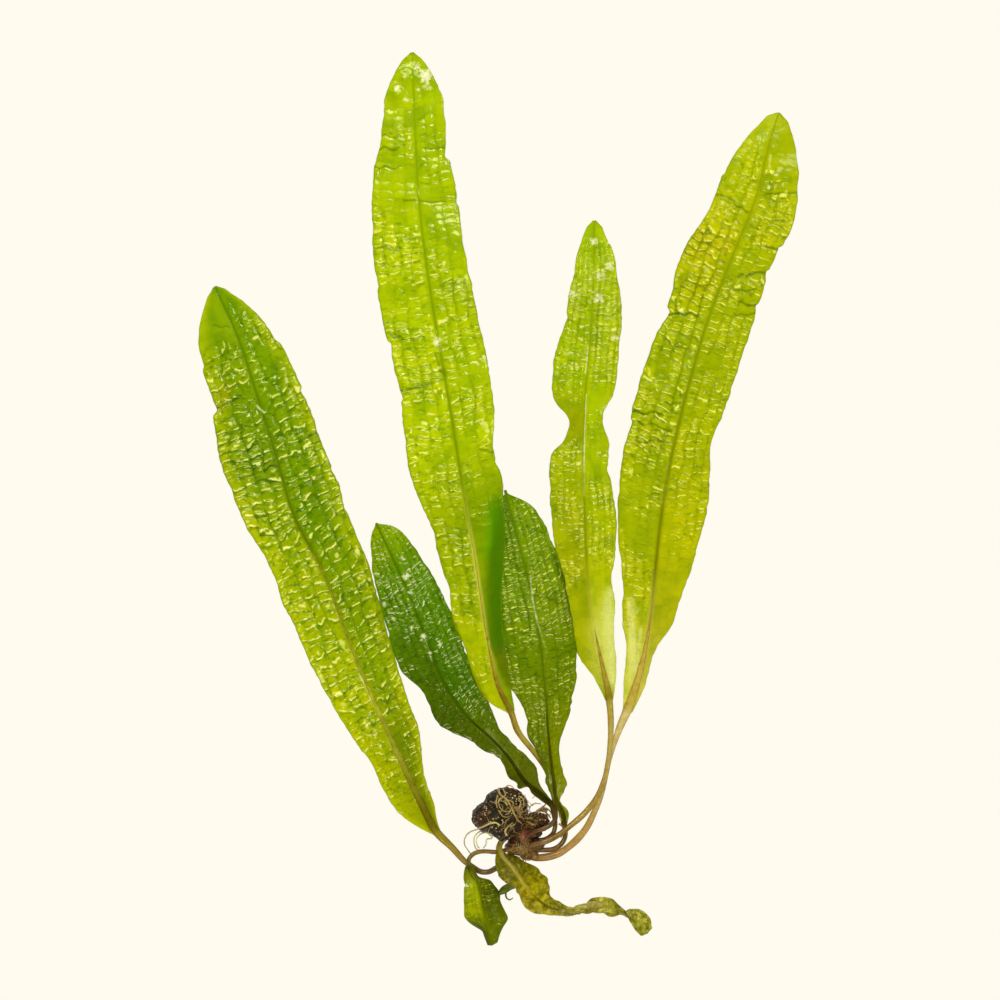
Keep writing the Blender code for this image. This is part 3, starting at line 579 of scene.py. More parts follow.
def addTube(mesh, path, radii, corners, flatness=1.0, tint=0.0):
    rings = len(path)
    firstVertex = len(mesh.verts)
    firstEdge = len(mesh.edges)
    bmesh.ops.create_cone(mesh, cap_ends=True, segments=corners, radius1=1.0, radius2=1.0, depth=1.0)
    mesh.edges.ensure_lookup_table()
    sides = mesh.edges[firstEdge:]
    lengthwise = [edge for edge in sides if abs(edge.verts[0].co.z - edge.verts[1].co.z) > 0.5]
    bmesh.ops.subdivide_edges(mesh, edges=lengthwise, cuts=rings - 2)
    mesh.verts.ensure_lookup_table()
    side, upward = carryFrame(path)
    look = mesh.verts.layers.float_color["look"]
    for vertex in mesh.verts[firstVertex:]:
        ring = round((vertex.co.z + 0.5) * (rings - 1))
        angle = math.atan2(vertex.co.y, vertex.co.x)
        out = side[ring] * math.cos(angle) + upward[ring] * (flatness * math.sin(angle))
        vertex.co = Vector(path[ring] + out * radii[ring]) * mm
        vertex[look] = (ring / (rings - 1), math.cos(angle) * 0.5 + 0.5, 0.0, tint)


def addLump(mesh, middle, radii, grain, grainSize, detail, tint, floor=0.0):
    first = len(mesh.verts)
    bmesh.ops.create_icosphere(mesh, subdivisions=detail, radius=1.0)
    mesh.verts.ensure_lookup_table()
    look = mesh.verts.layers.float_color["look"]
    for vertex in mesh.verts[first:]:
        out = vertex.co.copy()
        place = Vector([middle[axis] + out[axis] * radii[axis] for axis in range(3)])
        rough = noise.fractal(place / grainSize, 0.9, 2.0, 4)
        place = place + out * (grain * rough)
        place.z = max(place.z, floor)
        vertex.co = place * mm
        vertex[look] = (0.0, 0.0, 0.0, tint)


def stalkPiece(name, node, leaf, finish):
    path = leaf["stalk"] + leaf["rib"]
    knots = along(path)
    base = knots[len(leaf["stalk"])]
    end = min(base + leaf["ribRun"], knots[-1])
    at = np.linspace(0.0, end, int(end / 0.7))
    centre = flow(knots, path, at)
    onBlade = np.clip((at - base) / (end - base), 0, 1)
    radius = table(leaf["stalkRadius"], np.clip(at / base, 0, 1))
    radius = radius * (1 + 0.06 * wander(leaf["seed"] + 9, 3.0, at))
    radius = radius * (1 - onBlade) ** leaf["taper"] + 0.07
    mesh = newMesh()
    addTube(mesh, centre, radius, 12, 0.85)
    look = mesh.verts.layers.float_color["look"]
    for vertex in mesh.verts:
        place = vertex[look][0] * end
        flank = abs(vertex[look][1] * 2 - 1)
        vertex[look] = (min(place / base, 1.0), flank, max(place - base, 0.0) / (end - base), 0.0)
    addPiece(name, solidData(mesh, name), finish, [node])


# The leaves. Places are millimetres to the right, up the photograph and above the table. Widths, lifts,
# cup and turn go by the distance along the rib, cells and colours by the share of it, and what concerns the
# stalk by the share of the stalk. Creases, shines and patches run from one place to another, followed by a
# strength and, but for shines, a spread. Creases are pressed in and darkened as painted shade, shines are
# painted highlight lines, and patches are painted shade, painted sheen or plain colour. Nicks are a side, a
# distance, a depth and a reach. Glares and domes are a place, a radius and a strength or a height; glares
# are painted highlights. Colours are as they look on the lit table, from 0 to 255.
# The step is the mesh's spacing, and ribRun is how far the stalk's thick rib reaches up the blade.
usual = {  # what a leaf has unless it says otherwise
    "step": 0.43, "ribRun": 40, "ribWidth": 0.5, "taper": 0.9, "above": 0.15, "uneven": 0.25, "point": 2,
    "furrow": 0.25, "nicks": [], "creases": [], "shines": [], "patchesAndPaintedLight": [], "glares": [], "domes": [],
    "cup": [(0, 0), (1, 0)], "turn": [(0, 0), (1, 0)], "mottling": 0.5, "toneChange": 0.4, "edging": 0,
    "veins": 0.8, "net": 0, "ribStrength": 0.85, "glint": 1, "relief": 1.5, "wet": 1,
}


def growLeaf(name, node, leaf):
    leaf = {**usual, **leaf}
    bladePiece(name + "Blade", node, leaf, leafFinish(name + "Leaf", leaf))
    stalkPiece(name + "Stem", node, leaf, stalkFinish(name + "Stem", leaf))


print("far left leaf")
farLeft = {
    "seed": 210, "ribRun": 104, "ribWidth": 0.6, "taper": 1.5, "ruffle": (0.35, 21, 0.6),
    "stalk": [(7, -10.5, 2.6), (4, -13, 1.6), (1.7, -15.4, 1.2), (-1.3, -17.6, 1.1), (-4, -18.9, 1.1),
        (-6.7, -18.7, 1.1), (-9, -17.3, 1.15), (-11.3, -15.7, 1.2), (-16, -10.7, 1.3)],
    "rib": [(-21, -5.7, 1.4), (-26.7, 5, 1.6), (-37.3, 27.7, 1.6), (-48.7, 53.7, 1.6), (-59.7, 82.7, 1.7),
        (-68, 98.3, 1.8), (-74.7, 120, 1.6), (-81.7, 142.3, 1.5), (-88.3, 161.7, 1.3), (-95, 176, 0.8)],
    "stalkRadius": [(0, 0.8), (0.6, 0.9), (1, 1.3)],
    "left": [(0, 1.3), (10, 7.5), (20, 9.2), (30, 9.3), (40, 11.5), (60, 13.8), (80, 15.5), (90, 16.3),
        (108, 14.8), (118, 16.2), (138, 18.3), (150, 17), (160, 15.5), (177, 14), (187, 10.2), (192, 6.2),
        (196.6, 1.7)],
    "right": [(0, 1.3), (10, 3.8), (20, 5.5), (30, 8.7), (50, 11.2), (70, 13.3), (90, 14.7), (110, 16.5),
        (118, 17.7), (128, 16.8), (140, 15.7), (150, 15.7), (160, 14.5), (168, 13.7), (177, 10.8),
        (187, 7.2), (193, 3.7), (196.6, 1.6)],
    "leftLift": [(0, 1.4), (20, 1.2), (196, 1.1)],
    "rightLift": [(0, 1.4), (20, 1.3), (55, 2.4), (70, 3.2), (95, 3.1), (115, 1.7), (196, 1.1)],
    "nicks": [("left", 156.4, 2.2, 6), ("right", 173, 0.9, 3), ("right", 155.3, 1.2, -3.5),
        ("left", 172, 0.8, 4), ("right", 140, 0.7, 2), ("right", 128, 0.6, -2.5), ("left", 128, 0.6, 3)],
    "cells": {
        "seed": 211, "columns": 4, "length": (2.5, 4.2), "slant": (0, 0.22), "height": 0.42,
        "left": [(0, 0), (0.08, 0.35), (0.2, 0.8), (0.5, 1), (0.88, 1), (0.91, 0.5), (0.93, 0.02), (1, 0)],
        "right": [(0, 0), (0.08, 0.3), (0.2, 0.8), (0.5, 1), (0.9, 0.8), (0.95, 0.3), (0.98, 0), (1, 0)],
    },
    "creases": [(-96, 134.7, -92.7, 136.3, 1, 0.5), (-92.7, 136.3, -86.7, 139.3, 0.9, 0.5),
        (-60.7, 127.7, -66.7, 124.7, 0.8, 0.5), (-85.7, 120, -81.7, 123.7, 0.7, 0.5),
        (-95.7, 163, -89.7, 162.7, 0.5, 0.5), (-74.3, 140.3, -67.7, 141.3, 0.5, 0.5),
        (-79.3, 131.7, -75, 138.3, 0.5, 0.5), (-59.3, 112.3, -65.7, 109.3, 0.5, 0.5),
        (-86.7, 105, -81.3, 103.3, 0.5, 0.5)],
    "shines": [(-80.8, 136.7, -78, 133, 0.9), (-47.4, 49, -43.3, 40.4, 0.7),
        (-43.3, 40.4, -39.7, 31.4, 0.8), (-39.7, 31.4, -35.9, 23.4, 0.5)],
    "patchesAndPaintedLight": [(-92, 138.5, -91, 142.5, 0.35, 2.4)],
    "glares": [(-43.6, 32, 1.8, 0.65), (-42.2, 27.4, 1.8, 0.65), (-40.4, 23.4, 1.4, 0.6)],
    "leftColours": [(0.05, 164, 168, 10), (0.28, 168, 180, 12), (0.56, 155, 173, 8), (0.7, 116, 148, 8),
        (0.94, 142, 168, 8)],
    "rightColours": [(0.05, 132, 140, 10), (0.15, 134, 145, 8), (0.3, 148, 167, 12), (0.56, 116, 148, 8),
        (0.85, 128, 160, 10)],
    "ribColours": [(0, 200, 186, 90), (0.3, 176, 172, 60), (0.46, 130, 128, 20), (0.54, 92, 100, 8),
        (1, 92, 128, 9)],
    "stalkColours": [(0, 96, 70, 46), (0.5, 92, 78, 42), (0.64, 160, 132, 76), (1, 160, 150, 44)],
    "ribEndColour": (226, 230, 116), "patchAndPaintedLightColour": (160, 140, 20), "glintColour": (244, 248, 140),
    "mottleShade": (0.8, 0.9, 0.7), "veinShade": (0.46, 0.62, 0.3), "edging": 0.5, "veins": 0.85,
    "ribStrength": 0.8, "fibre": (60, 50, 1), "wrinkle": (230, 13, 1),
}
growLeaf("farLeft", "leaf_far_left", farLeft)


print("tall leaf")
tall = {
    "seed": 110, "ribRun": 74, "ribWidth": 0.62, "taper": 2.2, "ruffle": (0.35, 23, 2.2),
    "stalk": [(7.5, -7.4, 5.8), (9, -6.7, 6.4), (12, -5, 7), (14.7, -4, 7), (17, -2.7, 6.6),
        (18.4, -0.9, 5.4), (18.5, 0.9, 3.9), (18.3, 3.6, 2.1), (17.2, 8.6, 1.1), (15.4, 15, 1.1),
        (11.1, 21.3, 1.2), (5.8, 28.3, 1.3)],
    "rib": [(3.7, 34.3, 1.4), (0, 41.7, 1.5), (-4, 58.3, 1.6), (-8.3, 85, 1.6), (-12.3, 108.3, 1.6),
        (-16, 131.7, 1.6), (-20, 155, 1.6), (-24.3, 181.7, 1.5), (-27, 205, 1.4), (-28.3, 228.3, 1.2),
        (-29.3, 254, 0.8)],
    "stalkRadius": [(0, 0.75), (0.5, 0.75), (0.8, 0.98), (1, 1.1)],
    "left": [(0, 1.1), (5, 4.4), (16, 7.5), (26, 8.5), (32, 10.3), (43, 9.9), (52, 11.4), (67, 12.7),
        (78, 15.8), (100, 16.3), (111, 15.8), (134, 17.2), (145, 17.5), (167, 16.3), (186, 14), (194, 11.8),
        (203, 10.1), (208.4, 9.4), (214.8, 6.8), (218.5, 4.7), (222.9, 1.4)],
    "right": [(0, 1.1), (5, 2.7), (11, 4.6), (22, 5), (33, 6), (45, 7.8), (56, 10.5), (67, 12.3),
        (78, 13.6), (89, 12.2), (100, 14.2), (134, 14.3), (156, 13.2), (178, 12.5), (190, 11), (201, 10.5),
        (208.4, 9.3), (214.8, 7), (218.5, 4.8), (222.9, 1.4)],
    "leftLift": [(0, 1.4), (30, 1.3), (222, 1.1)],
    "rightLift": [(0, 1.6), (12, 3.8), (30, 4.1), (60, 4.1), (80, 3.2), (100, 1.7), (120, 1.3), (222, 1.2)],
    "nicks": [("left", 128.5, 1.6, -4), ("right", 187, 2, 6.5), ("right", 84, 1, -3), ("left", 109, 1, 3.5),
        ("left", 147, 0.7, 3), ("right", 171, 0.8, 4)],
    "cells": {
        "seed": 111, "columns": 4, "length": (2.1, 3.7), "slant": (0.1, 0.12), "height": 0.4,
        "left": [(0, 0), (0.03, 0.3), (0.1, 0.6), (0.22, 0.7), (0.35, 0.95), (0.72, 1), (0.8, 0.5),
            (0.9, 0.3), (0.96, 0), (1, 0)],
        "right": [(0, 0), (0.1, 0), (0.25, 0.12), (0.35, 0.6), (0.45, 0.8), (0.68, 0.8), (0.78, 0.4),
            (0.9, 0.25), (0.96, 0), (1, 0)],
    },
    "domes": [(-26, 244.6, 3.2, 1.4), (-31.6, 246, 2.2, 0.9), (-34, 240, 2, 0.8), (-29.4, 205, 2.4, 0.9),
        (-19.8, 157.4, 2.4, 1), (-27.4, 238, 1.6, 0.6)],
    "creases": [(-41.3, 226.3, -34, 226, 0.6, 0.5), (-42, 222.3, -34.3, 222, 0.8, 0.5),
        (-42.7, 215.7, -33.7, 215.7, 0.7, 0.5), (-25, 222.3, -16.7, 222.3, 0.6, 0.5),
        (-32.3, 204.7, -28, 204.7, 0.7, 0.5), (-26.7, 204.7, -18, 204.3, 0.6, 0.5),
        (-26.7, 210.7, -23.3, 210.7, 0.5, 0.5), (-33.3, 141, -27.3, 142.7, 0.9, 0.5),
        (-27.3, 142.7, -19.3, 145, 0.6, 0.5), (-36.3, 160.3, -32, 158.3, 0.8, 0.5),
        (-6.7, 122, -1, 120.7, 0.6, 0.5), (-21.3, 154.3, -19.7, 147.7, 0.6, 0.5),
        (-18.9, 148.2, -18.5, 146.4, 1, 0.8)],
    "shines": [(-21.3, 160, -20, 154.3, 0.6), (-28.4, 206.3, -28.8, 201.5, 0.6)],
    "patchesAndPaintedLight": [(-0.8, 102, -1.4, 88, 1.4, 3.4), (-1, 88, -0.6, 58, 1.3, 2.8)],
    "glares": [(-24.6, 246, 2.6, 1.1), (-24.2, 242.6, 1.6, 0.9), (-27.6, 249.4, 1.8, 0.9),
        (-26.8, 241.4, 1.2, 0.8), (-31.4, 246.6, 1.3, 0.8), (-34.6, 242.6, 1.8, 0.75),
        (-31.4, 238.4, 1.1, 0.8), (-29.2, 238, 0.9, 0.8), (-20.8, 157.6, 1.8, 0.75), (-32, 201.6, 1.6, 0.6),
        (-25.6, 161, 1.8, 0.5), (-38, 163.5, 1.4, 0.5)],
    "leftColours": [(0.05, 186, 192, 14), (0.18, 168, 182, 8), (0.3, 158, 176, 8), (0.42, 182, 199, 10),
        (0.85, 178, 196, 8)],
    "rightColours": [(0.05, 152, 172, 8), (0.15, 144, 166, 8), (0.3, 142, 164, 8), (0.42, 179, 196, 10),
        (0.85, 175, 195, 8)],
    "ribColours": [(0, 236, 220, 140), (0.25, 216, 208, 100), (0.36, 128, 148, 10), (0.7, 134, 158, 8),
        (1, 150, 176, 7)],
    "stalkColours": [(0, 124, 70, 66), (0.4, 120, 96, 40), (0.75, 180, 166, 74), (1, 172, 154, 64)],
    "ribEndColour": (232, 222, 124), "patchAndPaintedLightColour": (98, 162, 6), "glintColour": (244, 248, 130),
    "mottleShade": (0.82, 0.88, 0.6), "veinShade": (0.6, 0.69, 0.25), "mottling": 0.7, "toneChange": 0.5,
    "edging": 0.15, "ribStrength": 0.95, "fibre": (70, 50, 1), "wrinkle": (280, 13, 1),
}
growLeaf("tall", "leaf_tall", tall)


print("narrow leaf")
narrow = {
    "seed": 310, "step": 0.4, "ribRun": 24, "ribWidth": 0.55, "ruffle": (0.3, 17, 4),
    "stalk": [(7.5, -10.2, 5.6), (9.3, -10, 6.4), (12, -9.3, 7), (16, -8, 6.8), (20.3, -5.7, 6),
        (23.7, -3, 5.2), (27.3, 0, 4.2), (30.2, 3.2, 3.7), (32.8, 7.2, 3.4), (34.6, 11.5, 3.3),
        (36, 18, 3.3), (36.7, 24.5, 2.9), (36.9, 31, 1.9)],
    "rib": [(36.4, 38.3, 1.5), (33.7, 51.7, 1.5), (31, 65, 1.5), (29.3, 78.3, 1.5), (28.3, 98.3, 1.6),
        (27.7, 118.3, 1.6), (28.3, 138.3, 1.6), (30, 158.3, 1.5), (31, 175, 1.3), (31.5, 198, 0.8)],
    "stalkRadius": [(0, 0.9), (0.4, 0.9), (0.75, 0.85), (1, 1.1)],
    "left": [(0, 1.3), (8, 3.5), (16, 6.7), (24, 7.8), (40, 8.7), (56, 10.7), (72, 11.3), (80, 10.8),
        (84, 9.6), (86.4, 7), (89.3, 5.6), (92.5, 5), (95.6, 6.1), (98.7, 9.2), (102, 10.8), (108, 11.3),
        (114.4, 11.2), (120.6, 10.1), (127, 8.5), (130, 8.5), (136.3, 8), (142.5, 6.4), (148.8, 5.6),
        (155, 3.9), (158.5, 2.5), (160.5, 1.5)],
    "right": [(0, 1.3), (8, 3.7), (16, 5.3), (24, 6.5), (32, 8.2), (40, 7.7), (48, 9.5), (72, 9.5),
        (80, 8.2), (88, 8.4), (94, 6), (104, 9.4), (120, 9.9), (128, 10), (136, 9.2), (144, 7.6),
        (149, 6.8), (155, 4), (158.5, 2.6), (160.5, 1.5)],
    "leftLift": [(0, 1.3), (10, 1), (60, 1), (160, 1)], "rightLift": [(0, 1.3), (30, 1.2), (160, 1)],
    "nicks": [("left", 128.2, 0.6, -1.5), ("right", 78.4, 0.8, -3)],
    "cells": {
        "seed": 311, "columns": 5, "length": (1.5, 2.6), "slant": (0.1, 0.12), "height": 0.34,
        "left": [(0, 0), (0.06, 0.3), (0.14, 0.1), (0.25, 0.5), (0.4, 1), (0.51, 1), (0.54, 0.35),
            (0.61, 0.3), (0.65, 1), (0.9, 0.9), (0.97, 0.1), (1, 0)],
        "right": [(0, 0), (0.06, 0.2), (0.14, 0.1), (0.25, 0.4), (0.4, 1), (0.45, 0.9), (0.48, 0.12),
            (0.63, 0.1), (0.67, 0.9), (0.9, 0.9), (0.97, 0.1), (1, 0)],
    },
    "domes": [(32.9, 179.5, 2.4, 0.8), (36, 183, 1.6, 0.6)],
    "shines": [(29.6, 157, 28.6, 147, 0.9), (28.8, 140, 28, 128, 0.9), (28, 128, 27.6, 116, 1),
        (27.6, 116, 27.8, 106, 0.7)],
    "patchesAndPaintedLight": [(36.6, 74, 36, 69, 0.9, 1.8), (36.6, 67, 37.4, 45, 0.95, 3.2), (33, 62, 34.8, 47, 0.45, 3.6)],
    "glares": [(35.8, 74, 1.8, 0.5), (37, 62, 1.2, 0.5), (31.1, 191, 1.5, 0.85), (36.5, 183, 1.8, 0.95),
        (32.9, 179.5, 2.8, 0.8), (24.9, 173.6, 2.5, 0.8), (32.6, 172.3, 2.7, 0.75), (36.3, 191, 1.1, 0.8),
        (38.2, 159, 1.6, 0.75), (23.6, 153.9, 1.2, 0.7), (28.9, 175.1, 1.6, 0.7)],
    "leftColours": [(0.05, 174, 175, 24), (0.3, 168, 174, 10), (0.52, 166, 180, 12), (0.58, 160, 166, 12),
        (0.66, 168, 188, 14), (0.9, 174, 194, 16)],
    "rightColours": [(0.05, 190, 188, 50), (0.15, 196, 198, 60), (0.26, 184, 190, 20), (0.42, 174, 188, 10),
        (0.8, 172, 192, 14)],
    "ribColours": [(0, 214, 200, 110), (0.2, 196, 188, 70), (0.3, 134, 142, 8), (1, 146, 164, 20)],
    "stalkColours": [(0, 136, 84, 70), (0.3, 178, 150, 76), (0.7, 206, 190, 120), (1, 190, 178, 78)],
    "ribEndColour": (214, 196, 120), "patchAndPaintedLightColour": (218, 222, 150), "glintColour": (246, 248, 150),
    "mottleShade": (0.82, 0.88, 0.6), "veinShade": (0.64, 0.72, 0.32), "mottling": 0.7, "toneChange": 0.5,
    "edging": 0.15, "veins": 0.5, "ribStrength": 0.8, "fibre": (60, 40, 1), "wrinkle": (260, 10, 1),
}
growLeaf("narrow", "leaf_narrow", narrow)


print("far right leaf")
farRight = {
    "seed": 410, "ribRun": 36, "ribWidth": 0.7, "ruffle": (0.35, 20, 5.1),
    "stalk": [(8, -13, 2.9), (12, -14, 2.4), (19, -12.9, 1.6), (24.4, -9.2, 1.3), (28.7, -4.3, 1.2),
        (31.2, 0.6, 1.1), (33.6, 6.6, 1.1), (35.2, 13, 1.1), (36.5, 19, 1.1), (38.2, 24.5, 1.2),
        (40.2, 30, 1.4)],
    "rib": [(42.3, 34.8, 1.7), (46.7, 48.3, 1.7), (50, 65, 1.7), (51.7, 81.7, 1.7), (54, 101.7, 1.7),
        (58.3, 125, 1.7), (63.3, 145, 1.7), (69.3, 165, 1.6), (78.3, 188.3, 1.5), (85, 205, 1.4),
        (89.3, 221.7, 1.2), (92.7, 234, 0.8)],
    "stalkRadius": [(0, 1.2), (0.35, 1.1), (0.6, 0.85), (0.8, 0.85), (1, 1.5)],
    "left": [(0, 1.5), (10, 4.5), (21, 6.3), (31, 9.5), (41, 10), (52, 12.2), (62, 14), (72, 15.3),
        (103, 16), (124, 15.3), (134.5, 14.2), (145, 15.7), (155, 15.5), (165.5, 13.7), (186, 11.8),
        (196.5, 7.5), (202, 4.6), (206.9, 2)],
    "right": [(0, 1.8), (10, 2.9), (21, 3.3), (31, 7.3), (41, 9.8), (52, 12.2), (62, 14), (72, 14.7),
        (83, 13.8), (93, 11.9), (103, 13.5), (124, 14.5), (134.5, 14.7), (155, 13.5), (176, 14.2),
        (186, 12.2), (196.5, 8.7), (202, 5.4), (206.9, 2.2)],
    "leftLift": [(0, 1.6), (30, 1.3), (190, 1.1), (206, 0.8)],
    "rightLift": [(0, 1.6), (30, 1.3), (180, 1.1), (196, 1.2), (206, 0.9)],
    "nicks": [("left", 132.4, 1.9, -5), ("right", 165, 1.4, -4), ("right", 156, 1.6, -3),
        ("right", 144, 1.2, -3), ("left", 182, 0.8, 3), ("right", 112.6, 0.8, 3), ("left", 95, 0.9, -3)],
    "cells": {
        "seed": 411, "columns": 4, "length": (2, 3.5), "slant": (0.12, 0.1), "height": 0.4,
        "left": [(0, 0), (0.06, 0.3), (0.22, 0.6), (0.35, 1), (0.9, 0.9), (0.955, 0.1), (1, 0)],
        "right": [(0, 0), (0.1, 0.1), (0.2, 0.15), (0.3, 0.6), (0.42, 1), (0.5, 0.5), (0.6, 0.9),
            (0.9, 0.8), (0.955, 0.1), (1, 0)],
    },
    "domes": [(44.6, 66, 2.2, 0.8), (41, 62, 2, 0.8), (61.5, 165, 2.2, 0.9), (90.3, 213.1, 1.4, 0.5)],
    "creases": [(71.3, 207.3, 83, 201.3, 0.7, 0.5), (88.3, 207, 98.7, 207.3, 0.7, 0.5),
        (87.7, 189.7, 94, 188.3, 1, 0.5), (80, 180, 92, 181, 0.9, 0.5), (78, 175, 84.7, 175, 0.7, 0.5),
        (80, 171.3, 86.7, 169, 0.8, 0.5), (78, 167, 85.3, 167, 0.7, 0.5), (56, 167.3, 66, 166.7, 1, 0.5),
        (60.3, 176.3, 69.3, 176, 0.5, 0.5), (44.3, 134.3, 54.3, 133.7, 0.9, 0.5),
        (55, 137.7, 60.3, 137.3, 0.6, 0.5), (46, 131, 57.3, 128.3, 0.7, 0.5),
        (44.7, 124.3, 56.3, 124.7, 0.7, 0.5), (49, 106.3, 53.3, 107, 0.5, 0.5)],
    "shines": [(56.8, 118, 54.4, 103, 0.4)],
    "patchesAndPaintedLight": [(43.2, 72, 44.6, 48, 0.75, 1.2), (47, 62, 44.4, 44, 0.6, 1)],
    "glares": [(43, 64, 1.8, 0.5), (43.8, 71, 1.4, 0.5), (88.6, 213, 0.7, 0.8), (90.3, 214.9, 0.7, 0.8),
        (92, 213.3, 0.7, 0.8), (90.4, 211.2, 0.7, 0.8), (89.4, 209.2, 0.8, 0.7)],
    "leftColours": [(0.05, 210, 208, 95), (0.16, 186, 188, 28), (0.3, 168, 178, 10), (0.6, 160, 176, 12),
        (0.76, 188, 187, 8), (0.9, 180, 190, 12)],
    "rightColours": [(0.05, 200, 190, 90), (0.15, 174, 173, 30), (0.28, 186, 186, 10), (0.5, 164, 176, 10),
        (0.85, 172, 182, 10)],
    "ribColours": [(0, 236, 214, 150), (0.12, 220, 198, 120), (0.24, 116, 116, 10), (0.6, 130, 144, 8),
        (1, 158, 166, 10)],
    "stalkColours": [(0, 160, 120, 80), (0.3, 196, 164, 104), (0.7, 216, 198, 138), (1, 230, 218, 154)],
    "ribEndColour": (244, 222, 160), "patchAndPaintedLightColour": (228, 226, 160), "glintColour": (242, 244, 120),
    "mottleShade": (0.84, 0.9, 0.6), "veinShade": (0.6, 0.68, 0.25), "mottling": 0.6, "toneChange": 0.45,
    "edging": 0.15, "veins": 0.65, "wet": 0.4, "fibre": (70, 45, 1), "wrinkle": (260, 13, 1),
}
growLeaf("farRight", "leaf_far_right", farRight)


print("short left leaf")
shortLeft = {
    "seed": 510, "step": 0.38, "above": 0.1, "uneven": 0.36, "ruffle": (0.15, 15, 1),
    "stalk": [(9, -8.6, 4.3), (12, -8.2, 4.2), (15, -7.9, 3.9), (17.6, -6, 3.2), (18.4, -2.6, 2.3),
        (18, 0, 1.5)],
    "rib": [(17.3, 3, 1.1), (14.7, 6, 1.1), (8, 11.7, 1.3), (3.3, 18.7, 1.5), (-3.3, 26, 1.5),
        (-10, 32, 1.5), (-18.7, 44.3, 1.5), (-24.3, 58, 1.5), (-29.7, 72, 1.4), (-35.3, 84.7, 1.2),
        (-41.3, 97.3, 0.8)],
    "stalkRadius": [(0, 0.75), (0.5, 0.75), (1, 0.8)],
    "left": [(0, 0.8), (4, 1.6), (8, 1.8), (11, 1.3), (11.7, 3), (12.5, 3.1), (13.3, 2.2), (14.1, 2.4),
        (15.7, 3.4), (18.3, 3.5), (21, 3), (24, 3), (28, 4.3), (36, 5.6), (40, 7), (44, 8.6), (52, 8),
        (57, 8.4), (61, 10.6), (66, 12), (73, 11.6), (81, 11), (89, 10), (97, 8.4), (105, 5.5), (109, 3.6),
        (113, 0.5)],
    "right": [(0, 0.8), (4, 1.4), (8, 2.5), (12, 5.1), (16, 5.4), (20, 4.8), (24, 3.9), (28, 3.9),
        (32, 4.9), (36, 7.2), (40, 8.6), (50, 10.1), (60, 10.6), (80, 10.6), (89, 9.5), (97, 8.9),
        (105, 6.9), (109, 4.9), (113, 0.5)],
    "leftLift": [(0, 1.1), (20, 1), (60, 0.9), (113, 0.9)], "rightLift": [(0, 1.1), (20, 1), (113, 0.9)],
    "cells": {
        "seed": 511, "columns": 5, "length": (1.5, 2.5), "slant": (0.1, 0.25), "height": 0.34,
        "left": [(0, 0), (0.2, 0.1), (0.36, 0.3), (0.5, 0.6), (0.66, 1), (0.9, 0.8), (1, 0.1)],
        "right": [(0, 0), (0.2, 0.1), (0.33, 0.4), (0.45, 0.8), (0.6, 1), (0.9, 0.9), (1, 0.1)],
    },
    "shines": [(-31.6, 77, -28.6, 68.6, 0.35), (-25.6, 60.4, -22.6, 51.5, 0.6)],
    "patchesAndPaintedLight": [(-4.2, 28.2, 1.5, 21.6, 0.55, 0.9), (3, 20, 6, 16, 0.3, 0.8)],
    "glares": [(-32.6, 85.6, 1.1, 0.8), (-31.2, 79.6, 1.9, 0.85), (-30, 74, 1.2, 0.7),
        (-38.6, 70.3, 1, 0.85), (-25.4, 59.4, 1.5, 0.85), (-20.2, 57.2, 1.3, 0.85), (-23.4, 53.6, 1.2, 0.7),
        (-29, 62, 1.2, 0.6)],
    "leftColours": [(0.05, 80, 74, 12), (0.16, 98, 106, 16), (0.42, 82, 104, 6), (0.7, 94, 132, 8),
        (0.84, 104, 142, 8), (0.96, 152, 170, 6)],
    "rightColours": [(0.05, 110, 112, 30), (0.28, 98, 114, 20), (0.45, 80, 118, 6), (0.75, 94, 136, 8),
        (0.84, 104, 144, 8), (0.96, 148, 172, 6)],
    "ribColours": [(0, 83, 82, 19), (0.3, 60, 78, 8), (1, 78, 111, 8)],
    "stalkColours": [(0, 96, 64, 50), (0.5, 110, 84, 44), (1, 96, 96, 30)],
    "ribEndColour": (112, 124, 30), "patchAndPaintedLightColour": (150, 160, 110), "glintColour": (250, 252, 215),
    "mottleShade": (0.78, 0.88, 0.7), "veinShade": (0.5, 0.62, 0.35), "net": 0.9, "relief": 1.9,
    "fibre": (50, 40, 1), "wrinkle": (190, 9, 1),
}
growLeaf("shortLeft", "leaf_short_left", shortLeft)


